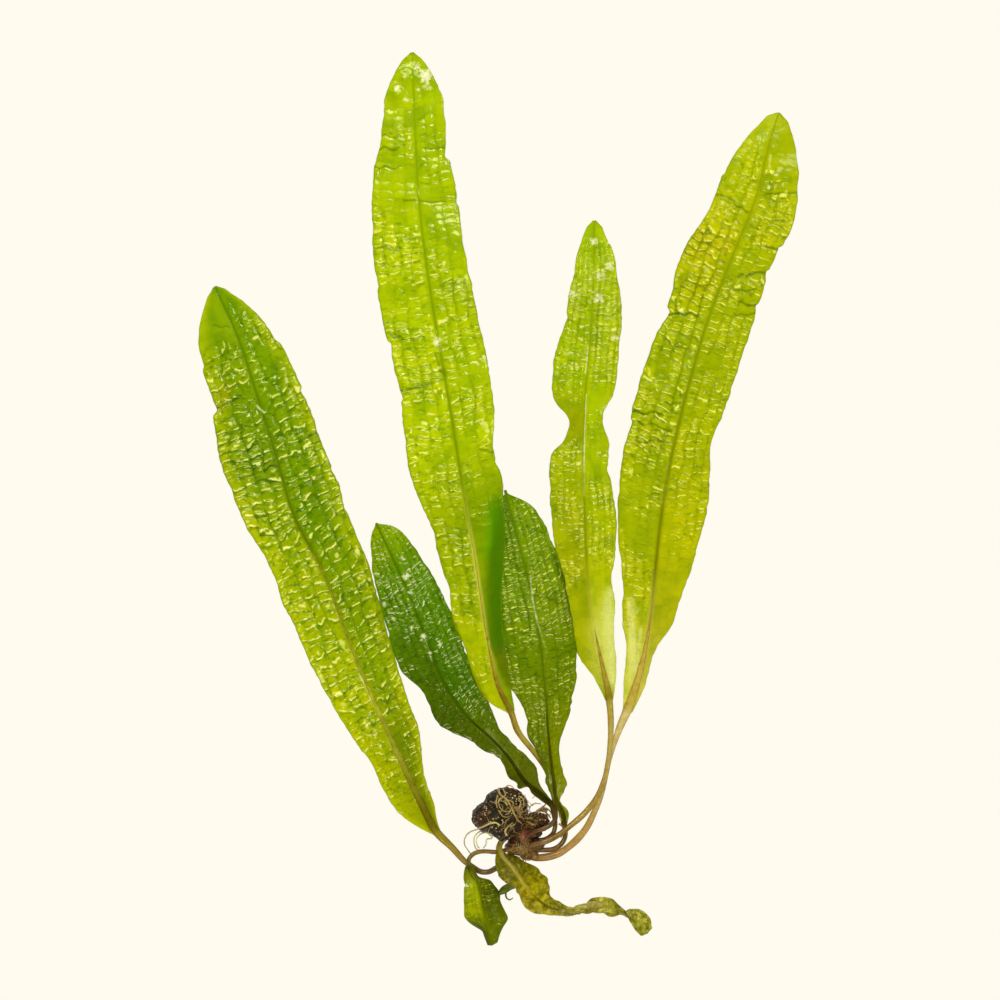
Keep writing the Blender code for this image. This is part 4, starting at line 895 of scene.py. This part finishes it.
print("short middle leaf")
shortMiddle = {
    "seed": 610, "step": 0.38, "above": 0.05, "uneven": 0.42, "ruffle": (0.1, 15, 3),
    "stalk": [(9, -10.6, 4.3), (12, -11.2, 4.3), (14.7, -11.4, 4.2), (18, -11, 4), (20.2, -9.6, 3.7),
        (21.5, -7.6, 3.3), (21.8, -5.8, 3.2)],
    "rib": [(21.4, -3.4, 3.6), (20.8, 1, 4.7), (18.9, 4.6, 5.2), (17.8, 11.7, 3.7), (16.3, 25, 2.2),
        (15.3, 38.3, 1.8), (13.7, 55, 1.7), (11, 71.7, 1.6), (7.7, 85, 1.5), (4.3, 98.3, 1.3),
        (1.7, 108.3, 0.8)],
    "stalkRadius": [(0, 0.75), (0.7, 0.75), (1, 0.8)],
    "left": [(0, 0.9), (4, 1.3), (8, 0.9), (12, 1.8), (15, 2.4), (18.5, 2.2), (22, 3.3), (27, 5), (31, 6.8),
        (37, 7), (43.5, 9), (50, 12.8), (64, 16.4), (77, 15.4), (90.5, 11.8), (104, 6.6), (110, 4),
        (113, 0.5)],
    "right": [(0, 0.9), (4, 1.9), (8, 1.2), (12, 2.8), (15, 4), (18.5, 3.8), (27, 3.4), (31, 4.2),
        (37, 7.2), (43.5, 9), (57, 11.2), (75, 11.8), (90, 11.2), (98, 10.4), (103.5, 8.9), (109, 5.4),
        (113, 0.5)],
    "leftLift": [(0, 3.6), (4, 4.7), (8, 5.2), (15, 4), (25, 2.6), (35, 1.6), (45, 1.1), (113, 1)],
    "rightLift": [(0, 3.6), (4, 4.7), (8, 5.2), (15, 3.8), (25, 2.8), (38, 3), (75, 3.1), (95, 1.6),
        (113, 1)],
    "cells": {
        "seed": 611, "columns": 6, "length": (1.4, 2.4), "slant": (0.1, 0.3), "height": 0.36,
        "left": [(0, 0), (0.2, 0.2), (0.4, 0.8), (0.6, 1), (0.93, 0.9), (1, 0.1)],
        "right": [(0, 0), (0.2, 0.2), (0.4, 0.8), (0.6, 1), (0.93, 0.9), (1, 0.1)],
    },
    "domes": [(4.7, 105.6, 1.3, 0.6)],
    "creases": [(18.6, 87, 21.4, 77, 0.7, 0.7), (21.4, 77, 23.4, 67, 0.7, 0.8), (9, 96, 14, 93.5, 0.5, 0.5),
        (12.6, 74, 20, 71, 0.6, 0.5), (13, 63, 22, 59, 0.5, 0.5), (4, 84, 9.6, 80, 0.5, 0.5),
        (0.6, 70, 10, 66, 0.5, 0.5)],
    "shines": [(10, 80.3, 10.8, 71.7, 0.9), (10.8, 71.7, 12.3, 63.7, 0.8), (12.3, 63.7, 14.4, 57, 0.6),
        (14.4, 57, 15, 41.7, 0.3)],
    "leftColours": [(0.05, 140, 144, 24), (0.16, 114, 124, 12), (0.42, 116, 135, 6), (0.7, 116, 146, 6),
        (0.95, 100, 134, 8)],
    "rightColours": [(0.05, 148, 154, 28), (0.15, 134, 140, 18), (0.4, 122, 139, 6), (0.7, 123, 150, 6),
        (0.95, 124, 154, 10)],
    "ribColours": [(0, 117, 106, 20), (0.35, 90, 104, 8), (1, 104, 129, 8)],
    "stalkColours": [(0, 96, 64, 50), (0.5, 120, 80, 44), (1, 116, 110, 26)],
    "ribEndColour": (136, 142, 34), "patchAndPaintedLightColour": (150, 130, 30), "glintColour": (240, 244, 130),
    "mottleShade": (0.8, 0.88, 0.7), "veinShade": (0.52, 0.64, 0.35), "veins": 0.75, "net": 0.9,
    "relief": 1.9, "fibre": (50, 40, 1), "wrinkle": (190, 11, 1),
}
growLeaf("shortMiddle", "leaf_short_middle", shortMiddle)


print("withered leaf")
withered = {
    "seed": 710, "step": 0.34, "ribRun": 22, "ribWidth": 0.45, "above": 0, "uneven": 0.55, "point": 0.5,
    "furrow": 0.1, "ruffle": (0, 10, 0), "stalk": [(2.2, -7, 4.8)],
    "rib": [(0.6, -8.4, 5), (-0.2, -10.2, 5), (0.3, -12.4, 4.8), (3.7, -16.7, 3.8), (7.3, -22, 2.2),
        (11.7, -27.2, 1.5), (16.3, -30.6, 1.9), (21.7, -31.6, 2.8), (26.7, -31.3, 3.1), (32, -29.8, 2.2),
        (37.5, -31, 1.6), (42, -32.8, 2.4), (45.6, -34.9, 1.8), (49, -39.4, 1.3)],
    "stalkRadius": [(0, 0.9), (1, 0.9)],
    "left": [(0, 0.9), (4, 1.1), (6.5, 2), (9.5, 3.4), (11.5, 4.6), (13, 5.6), (16, 6.7), (19, 7),
        (22.7, 6.6), (25.5, 5.2), (28.4, 3.6), (34, 2.7), (39, 2.3), (44.4, 2.8), (50, 3), (54.8, 1.7),
        (58.9, 3.6), (62.5, 3.6), (64.5, 2.6)],
    "right": [(0, 0.9), (4, 1.5), (6.5, 3.6), (9.5, 5.2), (13, 4.6), (15.9, 3.2), (19, 3.7), (22.7, 4.6),
        (25.5, 4.4), (28.4, 3.2), (34, 2.7), (39, 2.3), (44.4, 2.8), (50, 3), (54.8, 1.7), (58.9, 2),
        (62.5, 2.6), (64.5, 2.2)],
    "leftLift": [(0, 5), (4, 4.8), (6.5, 3.8), (9.5, 2.6), (11.5, 1.8), (13, 1.1), (16, 0.9), (24, 0.9),
        (30, 1.9), (39, 3.1), (46, 2), (54.8, 2.4), (63.7, 1.2)],
    "rightLift": [(0, 5), (4, 4.5), (6.5, 4.1), (9.5, 3.4), (13, 2.8), (16, 2.2), (20, 1.5), (24, 1),
        (30, 1.9), (39, 3.1), (46, 2), (54.8, 2.4), (63.7, 1.2)],
    "cup": [(0, 0), (26, 0), (34, 0.5), (40, 1.1), (46, 0.4), (50, 0.3), (55, 1.1), (59, 0.4), (64.5, 0)],
    "turn": [(0, 0), (12, 0), (24, 2), (28.4, 9), (34, 45), (39, 80), (42, 130), (45, 165), (50, 180),
        (53, 225), (54.8, 265), (57, 315), (59.5, 345), (64.5, 360)],
    "cells": {
        "seed": 711, "columns": 4, "length": (1.4, 2.6), "slant": (0.2, 0.2), "height": 0.42,
        "left": [(0, 0.3), (1, 1)], "right": [(0, 0.3), (1, 1)],
    },
    "leftColours": [(0, 146, 130, 26), (0.12, 122, 114, 4), (0.3, 176, 166, 16), (0.5, 200, 194, 80),
        (0.72, 240, 226, 136), (0.86, 206, 200, 100), (1, 176, 184, 84)],
    "rightColours": [(0, 152, 138, 26), (0.12, 132, 130, 4), (0.3, 186, 168, 40), (0.5, 192, 184, 76),
        (0.72, 232, 220, 120), (0.86, 190, 186, 88), (1, 158, 166, 66)],
    "ribColours": [(0, 230, 208, 130), (0.26, 210, 190, 96), (0.33, 146, 130, 30), (0.38, 84, 70, 14),
        (0.48, 80, 70, 16), (0.6, 150, 148, 60)],
    "stalkColours": [(0, 150, 140, 80), (1, 200, 190, 110)], "ribEndColour": (250, 234, 170),
    "patchAndPaintedLightColour": (176, 130, 50), "glintColour": (206, 192, 80), "decayColour": (118, 106, 6),
    "bleachedColour": (214, 196, 96), "mottleShade": (0.66, 0.68, 0.4), "veinShade": (0.55, 0.56, 0.3),
    "mottling": 0.7, "veins": 0.9, "ribStrength": 0.95, "glint": 0.35, "relief": 2, "wet": 0.2,
    "fibre": (30, 30, 1), "wrinkle": (90, 7, 1),
}
growLeaf("withered", "leaf_withered", withered)
neck = {  # where the withered leaf is rolled up: along its rib, from and to, and how thick
    "rolls": [(32, 49, 1.5), (52, 58.5, 1)],
    "stalkColours": [(0, 206, 200, 110), (1, 212, 208, 130)], "ribEndColour": (180, 170, 90),
}
neckMesh = newMesh()
ribKnots = along(withered["rib"])
for number, (begin, end, thick) in enumerate(neck["rolls"]):
    at = np.linspace(begin, end, int((end - begin) / 0.3))
    neckPath = flow(ribKnots, withered["rib"], at)
    neckPath[:, 1] += 0.35 * wander(731 + number, 1.6, at)
    bulge = thick * np.sin(math.pi * (at - begin) / (end - begin)) ** 0.6
    bulge = bulge * (1 + 0.22 * wander(741 + number, 1.1, at))
    addTube(neckMesh, neckPath, bulge + 0.05, 14, 0.6)
for vertex in neckMesh.verts:  # three fixed readings of the noise make it uneven in every direction
    place = vertex.co / mm
    bump = Vector([noise.noise(place / 1.1 + Vector((away, 0, 0))) for away in (11.3, 47.9, 83.1)])
    vertex.co = (place + 0.35 * bump) * mm
neckFinish = stalkFinish("witheredNeck", neck)
addPiece("witheredNeck", solidData(neckMesh, "witheredNeck"), neckFinish, ["leaf_withered"])


print("folded leaf")
folded = {
    "seed": 810, "step": 0.34, "ribRun": 9, "ribWidth": 0.6, "above": 0, "uneven": 0.12, "point": 0.4,
    "ruffle": (0, 10, 0),
    "stalk": [(3.4, -10.4, 2.4), (1.2, -11.8, 2.2), (-1.3, -12.2, 2.2), (-4, -12, 2.3), (-6.3, -12, 2.6),
        (-8.7, -12.7, 3), (-10.3, -14.4, 3.6)],
    "rib": [(-10.3, -16.6, 3.9), (-9.4, -19.5, 3.7), (-7.9, -22, 3.4), (-6.8, -26, 3.2), (-6, -30, 3.2),
        (-4.9, -35.5, 2.9), (-2.6, -43.4, 2.3)],
    "stalkRadius": [(0, 0.65), (1, 0.7)],
    "left": [(0, 1.1), (3, 1.6), (5.6, 2), (7, 4.4), (8.5, 5.4), (11, 6.6), (14, 6.4), (18, 7.2),
        (20.2, 7.6), (21.2, 7.4), (23.5, 5.2), (25.5, 3.5), (27.6, 2.1)],
    "right": [(0, 1.2), (3, 3), (9.6, 5.3), (14, 6), (17.6, 6.2), (19.2, 5.2), (21, 3.4), (22.6, 1.9),
        (24.5, 1.7), (27.6, 1.5)],
    "leftLift": [(0, 3.9), (3, 3.5), (5, 3.1), (9, 1.3), (27, 1)],
    "rightLift": [(0, 3.9), (3, 3.4), (5, 2.8), (9, 1.3), (27, 1)],
    "cells": {
        "seed": 811, "columns": 4, "length": (1.4, 2.6), "slant": (0.1, 0.3), "height": 0.28,
        "left": [(0, 0.5), (0.4, 1), (1, 1)], "right": [(0, 0.3), (0.5, 0.5), (1, 1)],
    },
    "domes": [(-11.4, -20, 1.6, 0.6)], "glares": [(-11.2, -23.4, 1.3, 0.7), (-10.6, -26, 1, 0.5)],
    "leftColours": [(0, 104, 110, 24), (0.3, 92, 98, 12), (0.6, 100, 110, 8), (1, 118, 130, 16)],
    "rightColours": [(0, 98, 100, 20), (0.2, 156, 164, 24), (0.55, 162, 168, 10), (0.75, 104, 114, 12),
        (1, 98, 106, 24)],
    "ribColours": [(0, 120, 130, 30), (0.4, 126, 132, 8), (1, 100, 120, 10)],
    "stalkColours": [(0, 130, 92, 64), (0.5, 152, 118, 74), (0.8, 130, 110, 56), (1, 110, 126, 30)],
    "ribEndColour": (190, 206, 60), "patchAndPaintedLightColour": (150, 150, 60), "glintColour": (206, 214, 60),
    "mottleShade": (0.66, 0.74, 0.5), "veinShade": (0.6, 0.72, 0.4), "mottling": 1, "toneChange": 0.6,
    "veins": 1, "ribStrength": 0.35, "glint": 0.8, "wet": 0.4, "fibre": (30, 40, 1), "wrinkle": (44, 6, 1),
}
growLeaf("folded", "leaf_folded", folded)


print("tuber")
tuber = {
    "middle": (0.3, 0.8), "height": 14, "sunk": 0.9, "shoulder": 0.8, "grain": 0.7, "grainSize": 2.6,
    "outline": [(0, 8.7), (22, 9.4), (45, 9.5), (72, 8.9), (94, 8.2), (125, 7.5), (154, 7.3), (174, 9),
        (189, 9.7), (206, 9.2), (220, 8.6), (237, 7.3), (255, 7.8), (274, 8.8), (300, 8.4), (330, 8.4),
        (360, 8.7)],
    "lobe": ((12.3, -2.2, 3.1), (4.3, 3.3, 2.5)), "folds": 0.9, "lobeGrain": (0.6, 1.8),
}


def tuberFinish():
    finish = Finish("tuberSkin")
    broad = finish.cloud(120.0, 4.0, 0.6)
    fine = finish.cloud(600.0, 5.0, 0.65)
    colour = finish.blend(broad.over(0.4, 0.62), solid(9, 4, 3), solid(58, 26, 17))
    colour = finish.blend(fine.over(0.5, 0.68) * 0.7, colour, solid(88, 58, 30))
    pale = finish.cloud(900.0, 3.0, 0.7).over(0.56, 0.66) * finish.cloud(150.0, 2.0, 0.5).over(0.38, 0.5)
    colour = finish.blend(pale * 0.6, colour, solid(170, 130, 112))
    # Tiny white glints: painted highlights.
    glints = finish.specks(900.0).over(0.3, 0.12) * finish.cloud(150.0, 3.0, 0.6).over(0.44, 0.56)
    colour = finish.blend(glints, colour, solid(240, 214, 200))
    colour = finish.blend(fine.over(0.44, 0.34) * 0.8, colour, solid(14, 8, 5))
    normal = finish.bump(fine + broad * 0.6, 1.0, 0.0009)
    return wetSkin(finish, colour, normal, specular=0.1, coat=0.45, coatRoughness=0.07)


# The tuber's body, as seen from above by direction, with its lobe
def tuberMesh():
    mesh = newMesh()
    bmesh.ops.create_icosphere(mesh, subdivisions=6, radius=1.0)
    half = tuber["height"] / 2
    headings = [pair[0] for pair in tuber["outline"]]
    radii = [pair[1] for pair in tuber["outline"]]
    turned = np.array([math.degrees(math.atan2(vertex.co.y, vertex.co.x)) % 360 for vertex in mesh.verts])
    reach = flow(headings, radii, turned)
    for vertex, radius in zip(mesh.verts, reach):
        x, y, z = vertex.co
        rough = noise.fractal(vertex.co * (8.0 / tuber["grainSize"]), 0.8, 2.0, 5)
        folds = abs(noise.noise(vertex.co * 3.1)) - 0.25
        lump = tuber["grain"] * rough - tuber["folds"] * folds
        level = max(math.hypot(x, y), 0.001)
        outward = (radius + lump) * level ** (tuber["shoulder"] - 1)
        place = Vector((tuber["middle"][0] + x * outward, tuber["middle"][1] + y * outward,
                        max(half - tuber["sunk"] + z * (half + lump), 0.0)))
        vertex.co = place * mm
    addLump(mesh, *tuber["lobe"], *tuber["lobeGrain"], 4, 0.0)
    return solidData(mesh, "tuberBody")


def surfaceOf(piece):
    bpy.context.view_layer.update()
    return BVHTree.FromObject(piece, bpy.context.evaluated_depsgraph_get())


tuberTop = surfaceOf(addPiece("tuberBody", tuberMesh(), tuberFinish(), ["tuber"]))


print("crown")
crown = {
    "lumps": [((7, -8.8, 4.4), (4.3, 4.3, 3.8)), ((10.5, -5.8, 4.6), (3.4, 2, 2)),
        ((5.4, -5.6, 5.4), (2.6, 2.4, 2.2)), ((11.5, -9.6, 4.2), (3.4, 2, 2.2)),
        ((9.6, -13, 3.2), (3.2, 2, 2)), ((4.4, -10.6, 4.2), (2.6, 2.4, 2.4)),
        ((8.2, -3.8, 3), (2.6, 2.2, 2.2)), ((3.6, -5.2, 3.6), (2.4, 2, 2.6))],
    "grain": 0.5, "grainSize": 1.6, "lowest": 0.3,
}


def crownFinish():
    finish = Finish("crownSkin")
    way = finish.parts(finish.node("TexCoord", output=3))
    broad = finish.cloud(160.0, 4.0, 0.6)
    streak = finish.cloud(700.0, 4.0, 0.6)
    low = (way[1] * 1000.0 + broad * 5.0).over(-8.5, -6.0)
    colour = finish.blend(low, solid(150, 108, 62), solid(70, 44, 26))
    aside = (way[0] * 1000.0 - 9.0) ** 2.0 + (way[1] * 1000.0 + 6.4) ** 2.0
    colour = finish.blend(aside.over(9.0, 3.0), colour, solid(150, 84, 84))
    colour = finish.blend(broad.over(0.44, 0.6) * 0.8, colour, solid(58, 34, 20))
    colour = finish.blend(streak.over(0.48, 0.66) * 0.85, colour, solid(30, 18, 10))
    normal = finish.bump(streak + broad * 0.5, 0.9, 0.0006)
    return wetSkin(finish, colour, normal, specular=0.15, coat=0.5, coatRoughness=0.08)


crownMesh = newMesh()
for middle, radii in crown["lumps"]:
    addLump(crownMesh, middle, radii, crown["grain"], crown["grainSize"], 4, 0.0, crown["lowest"])
crownBody = addPiece("crownBody", solidData(crownMesh, "crownBody"), crownFinish(), ["crown"])
crownTop = surfaceOf(crownBody)


print("roots")
roots = {
    "thinning": 0.95, "step": 0.35, "sway": 0.12, "taper": 0.45, "fineStep": 0.5, "curl": 0.55,
    "jitter": 0.22, "clump": ((14.4, 1.9, 2.6), (1.5, 0.8, 0.8)),
    "strands": [  # radius, places and, for some, how old; a negative age is young and pale
        (0.4, [(-0.4, 8.8), (0.7, 7), (2.1, 5.4), (3.3, 4.2), (4, 3), (4.7, 1.2), (5.8, -0.7), (6.9, -2)]),
        (0.26, [(-0.7, 7), (-1.2, 5.4), (-0.9, 3.3), (0.2, 1.2), (1.6, 0.2), (3.3, 0.1)]),
        (0.24, [(0.9, 8.9), (1.6, 7), (-0.2, 5.6), (0, 3.5), (1.2, 2.3), (2.8, 1.9), (4.4, 3)]),
        (0.26, [(7, 6.5), (8.7, 5.6), (9, 4), (8.4, 2.3), (6.8, 1.6), (5.4, 2.6), (4.2, 3)]),
        (0.22, [(6.3, 6.8), (7.5, 5.8), (7.7, 4), (6.8, 2.6), (5.1, 2.8)]),
        (0.22, [(5.8, 6.3), (6.8, 4.7), (6.3, 3.3), (4.7, 3.3)]),
        (0.24, [(7, -0.2), (8.7, -0.5), (10.3, -0.5), (10.8, 0.5)]),
        (0.24, [(6.9, -2), (8.7, -1.9), (10.3, -2.5), (11.9, -3)]),
        (0.42, [(2, -6), (1.7, -4.3), (2.8, -2.8), (4.3, -1.9)]),
        (0.26, [(3.3, -3.5), (4, -2.8), (5.1, -2.1)]),
        (0.34, [(0, -2.6), (-1.6, -1.9), (-3.3, -2.1), (-5.4, -3), (-7.5, -4.2, 8.4), (-10.3, -5.6, 5.8),
            (-11.5, -7.3, 3.6), (-11.9, -8.9, 2), (-11.2, -11, 0.9), (-10.3, -12.2, 0.6),
            (-9.4, -13.1, 0.6)], -0.3),
        (0.38, [(-2.3, -7, 2.6), (-4, -5.4, 2.6), (-6.1, -5.1, 2), (-7.7, -6.1, 1.4), (-8.5, -7.7, 0.9),
            (-8.7, -9.6, 0.6), (-7.7, -11.5, 0.6), (-6.3, -11.7, 0.6)], -0.9),
        (0.36, [(-2.3, -7.4, 2.2), (-4.1, -6, 2.2), (-5.9, -5.9, 1.7), (-7.2, -6.8, 1.2), (-7.9, -8.2, 0.8),
            (-7.7, -9.9, 0.6), (-6.8, -11, 0.6)], -1),
        (0.34, [(-2.8, -7.7, 1.6), (-4.4, -8.2, 1), (-4.7, -9.6, 0.7), (-5.6, -11, 0.6)], -1),
        (0.26, [(1.9, 9.5, 7.4), (2.8, 10.3, 7.9), (4.2, 9.8, 8), (4.8, 8.9, 8.2)]),
        (0.3, [(9.8, 2.3, 3.4), (10.5, 3.5, 3.8), (11.9, 4.2, 4.2), (13.6, 4, 4.4)]),
        (0.22, [(10.8, 5.8, 1.2), (11.5, 6.3, 1)]),
        (0.26, [(11.9, 0.9, 2.4), (12.6, 1.9, 2.8), (13.6, 2.1, 3)]),
        (0.26, [(14.7, -1.9, 3.4), (15.4, -0.7, 3.6), (17.1, 0.5, 3.8)]),
        (0.24, [(2.6, 4), (1.6, 4.9), (2.8, 5.6), (4.4, 4.4), (3.5, 2.8), (2.1, 3.5)]),
        (0.22, [(3.7, 2.1), (2.8, 1.2), (1.6, 0.7)]),
        (0.2, [(0.7, -0.7), (1.2, -1.6), (0.2, -2.8)]),
        (0.42, [(11.6, -0.8, 3.4), (12.6, 1.4, 3.4), (14.2, 2.6, 3), (15.8, 2.2, 2.6), (17.2, 0.8, 2.4)],
            0.8),
        (0.36, [(13, 1.6, 3), (14.4, 1.6, 2.6), (15.6, 0.6, 2.2), (16.8, -1, 2.2)], 1),
        (0.3, [(14.2, 2.6, 2.9), (15, 3.6, 2.4), (15.6, 4.4, 1.6)], 0.9),
        (0.36, [(19.6, -2.6, 4.6), (21.2, -3.8, 4.7), (22.2, -5.4, 4), (21.6, -7.2, 3.6)], 0.9),
        (0.3, [(20.4, -4.4, 4.7), (21, -5.8, 4.5), (20.2, -7.4, 4.2)], 1),
    ],
    "tangles": [  # mats of fine roots: middle, spread, how many, their lengths and radius, how old
        ((5.6, 3.4), 3.2, 10, (5, 11), 0.13, 0.8),
        ((0.4, 4.8), 2.4, 3, (4, 8), 0.12, 0.6),
        ((7.6, 0.6), 2.6, 10, (4, 8), 0.12, 0.9),
        ((11.6, -1.6), 2.6, 12, (3, 6), 0.11, 1),
        ((6.6, -11.6), 4, 46, (2, 5), 0.09, 0.65),
        ((1, -4), 4, 5, (3, 7), 0.12, 0.5),
    ],
}


def laidOn(points, radius):  # a strand with no height given lies on the tuber or the crown
    laid = []
    for point in points:
        if len(point) == 3:
            laid.append(point)
            continue
        start = Vector((point[0] * mm, point[1] * mm, 0.1))
        hits = [top.ray_cast(start, Vector((0, 0, -1)))[:2] for top in (tuberTop, crownTop)]
        hits = [(place / mm + normal * radius) for place, normal in hits if place]
        laid.append(tuple(max(hits, key=lambda place: place.z)) if hits else (*point, 0.8))
    return laid


def rootFinish():
    finish = Finish("rootSkin")
    way = finish.parts(finish.mark("look"))[0]
    old = finish.mark("look", 3)
    patchy = finish.cloud(500.0, 3.0, 0.6)
    stops = [(0.0, solid(204, 188, 146)), (0.55, solid(182, 158, 112)), (1.0, solid(144, 114, 68))]
    colour = finish.ramp(way, stops)
    colour = finish.blend(patchy.over(0.45, 0.7) * 0.6, colour, solid(140, 110, 62))
    colour = finish.blend(old, colour, finish.blend(patchy, solid(140, 100, 44), solid(66, 40, 20)))
    colour = finish.blend(old.over(0.0, -1.0), colour, solid(228, 220, 184))
    normal = finish.bump(finish.cloud(1500.0, 3.0, 0.6), 0.5, 0.0001)
    gloss = {"Base Color": colour, "Roughness": 0.3, "Coat Weight": 0.6, "Coat Roughness": 0.08,
             "Normal": normal}
    return finish.done(finish.node("BsdfPrincipled", {}, gloss))


rootMesh = newMesh()
for number, (radius, points, *age) in enumerate(roots["strands"]):
    radius = roots["thinning"] * radius
    path = onPath(laidOn(points, radius), roots["step"])
    reach = along(path)
    path[:, 0] += roots["sway"] * wander(900 + number, 1.4, reach)
    path[:, 1] += roots["sway"] * wander(950 + number, 1.4, reach)
    radii = radius * (1 + roots["sway"] * wander(970 + number, 1.0, reach))
    radii = radii * (1 - roots["taper"] * reach / reach[-1])
    addTube(rootMesh, path, radii, 8, 1.0, *age)

draw = np.random.default_rng(77)
for (x, y), spread, count, (shortest, longest), radius, age in roots["tangles"]:
    for number in range(count):
        here = np.array([x, y]) + draw.normal(0, spread * 0.5, 2)
        heading = draw.uniform(0, 2 * math.pi)
        curl = draw.uniform(-roots["curl"], roots["curl"])
        spots = []
        for step in range(int(draw.uniform(shortest, longest) / roots["fineStep"])):
            spots.append(tuple(here))
            heading += curl + draw.normal(0, roots["jitter"])
            here = here + roots["fineStep"] * np.array([math.cos(heading), math.sin(heading)])
        path = onPath(laidOn(spots, radius + draw.uniform(0.0, 0.25)), 0.3)
        radii = radius * np.linspace(1.1, 0.6, len(path))
        addTube(rootMesh, path, radii, 5, 1.0, age * draw.uniform(0.6, 1.0))
addLump(rootMesh, *roots["clump"], 0.6, 0.9, 3, 1.0, 0.5)
addPiece("rootStrands", solidData(rootMesh, "rootStrands"), rootFinish(), [
    "root_top", "root_side", "root_hook", "root_long", "root_loop", "root_low", "root_crest", "root_right",
    "root_coil", "root_arch", "root_brown"])


print("sprout")
sprout = {
    "stub": [(4.8, -23.3, 0.95), (3.2, -23.8, 1), (1.6, -24.7, 1), (0.3, -25.7, 0.9), (-0.6, -26.5, 0.7)],
    "hook": [(2.4, -24.4, 1), (1.9, -26.2, 0.7), (2.3, -27.7, 0.6), (3.3, -28.2, 0.5), (4.3, -27.6, 0.6)],
    "stubRadius": [(0, 1.1), (0.3, 1.25), (0.6, 1.3), (0.8, 0.95), (1, 0.4)],
    "stalkColours": [(0, 84, 100, 20), (1, 100, 116, 24)], "ribEndColour": (90, 100, 40),
    "hookRadius": (0.42, 0.18),
}
sproutMesh = newMesh()
stubPath = onPath(sprout["stub"], 0.3)
stubRadii = table(sprout["stubRadius"], np.linspace(0, 1, len(stubPath)))
addTube(sproutMesh, stubPath, stubRadii, 12, 0.7)
hookPath = onPath(sprout["hook"], 0.3)
addTube(sproutMesh, hookPath, np.linspace(*sprout["hookRadius"], len(hookPath)), 10)
sproutFinish = stalkFinish("sproutSkin", sprout)
addPiece("sproutBody", solidData(sproutMesh, "sproutBody"), sproutFinish, ["sprout"])


print("table, lamps and camera")
litTable = placed("litTable", gridData("litTable", 1, 1, 3.0))
tableTop = Finish("litTableTop")
tableGlow = tableTop.node("Emission", {}, {"Color": (*tableLight, 1.0), "Strength": 1.0})
litTable.data.materials.append(tableTop.done(tableGlow))

lampColour = (1.0, 0.96, 0.5)
skyColour = (1.0, 0.97, 0.8, 1.0)
skyStrength = 0.03
lamps = {  # where a lamp is, in metres, its size and its power in watts
    "farStrip": {"at": (0.0, 1.04, 1.05), "size": (1.6, 0.22), "power": 13.0},
    "nearStrip": {"at": (0.0, -0.84, 1.05), "size": (1.6, 0.22), "power": 13.0},
    "rightStrip": {"at": (1.0, 0.1, 1.0), "size": (0.9, 0.1), "power": 2.5},
    "highBox": {"at": (0.1, 0.62, 1.5), "size": (0.35, 0.3), "power": 5.0},
}
for name, lamp in lamps.items():
    light = bpy.data.lights.new(name, "AREA")
    light.shape = "RECTANGLE"
    light.size, light.size_y = lamp["size"]
    light.energy = lamp["power"]
    light.color = lampColour
    holder = placed(name, light)
    holder.location = lamp["at"]
    aim = Vector((0.0, 0.1, 0.0)) - Vector(lamp["at"])
    holder.rotation_euler = aim.to_track_quat("-Z", "Y").to_euler()

world = bpy.data.worlds.new("studio")
world.use_nodes = True
sky = world.node_tree.nodes["Background"]
sky.inputs["Color"].default_value = skyColour
sky.inputs["Strength"].default_value = skyStrength
bpy.context.scene.world = world
bpy.context.scene.view_settings.view_transform = "Standard"
bpy.context.scene.view_settings.look = "None"

view = {"lens": 200.0, "width": 0.3333, "middle": (0.0, 0.105)}  # straight down, as wide as the photograph
camera = bpy.data.cameras.new("camera")
camera.lens = view["lens"]
camera.sensor_width = 36.0
camera.clip_start = 0.1
camera.clip_end = 10.0
cameraHolder = placed("camera", camera)
cameraHolder.location = (*view["middle"], view["width"] * view["lens"] / camera.sensor_width)
bpy.context.scene.camera = cameraHolder
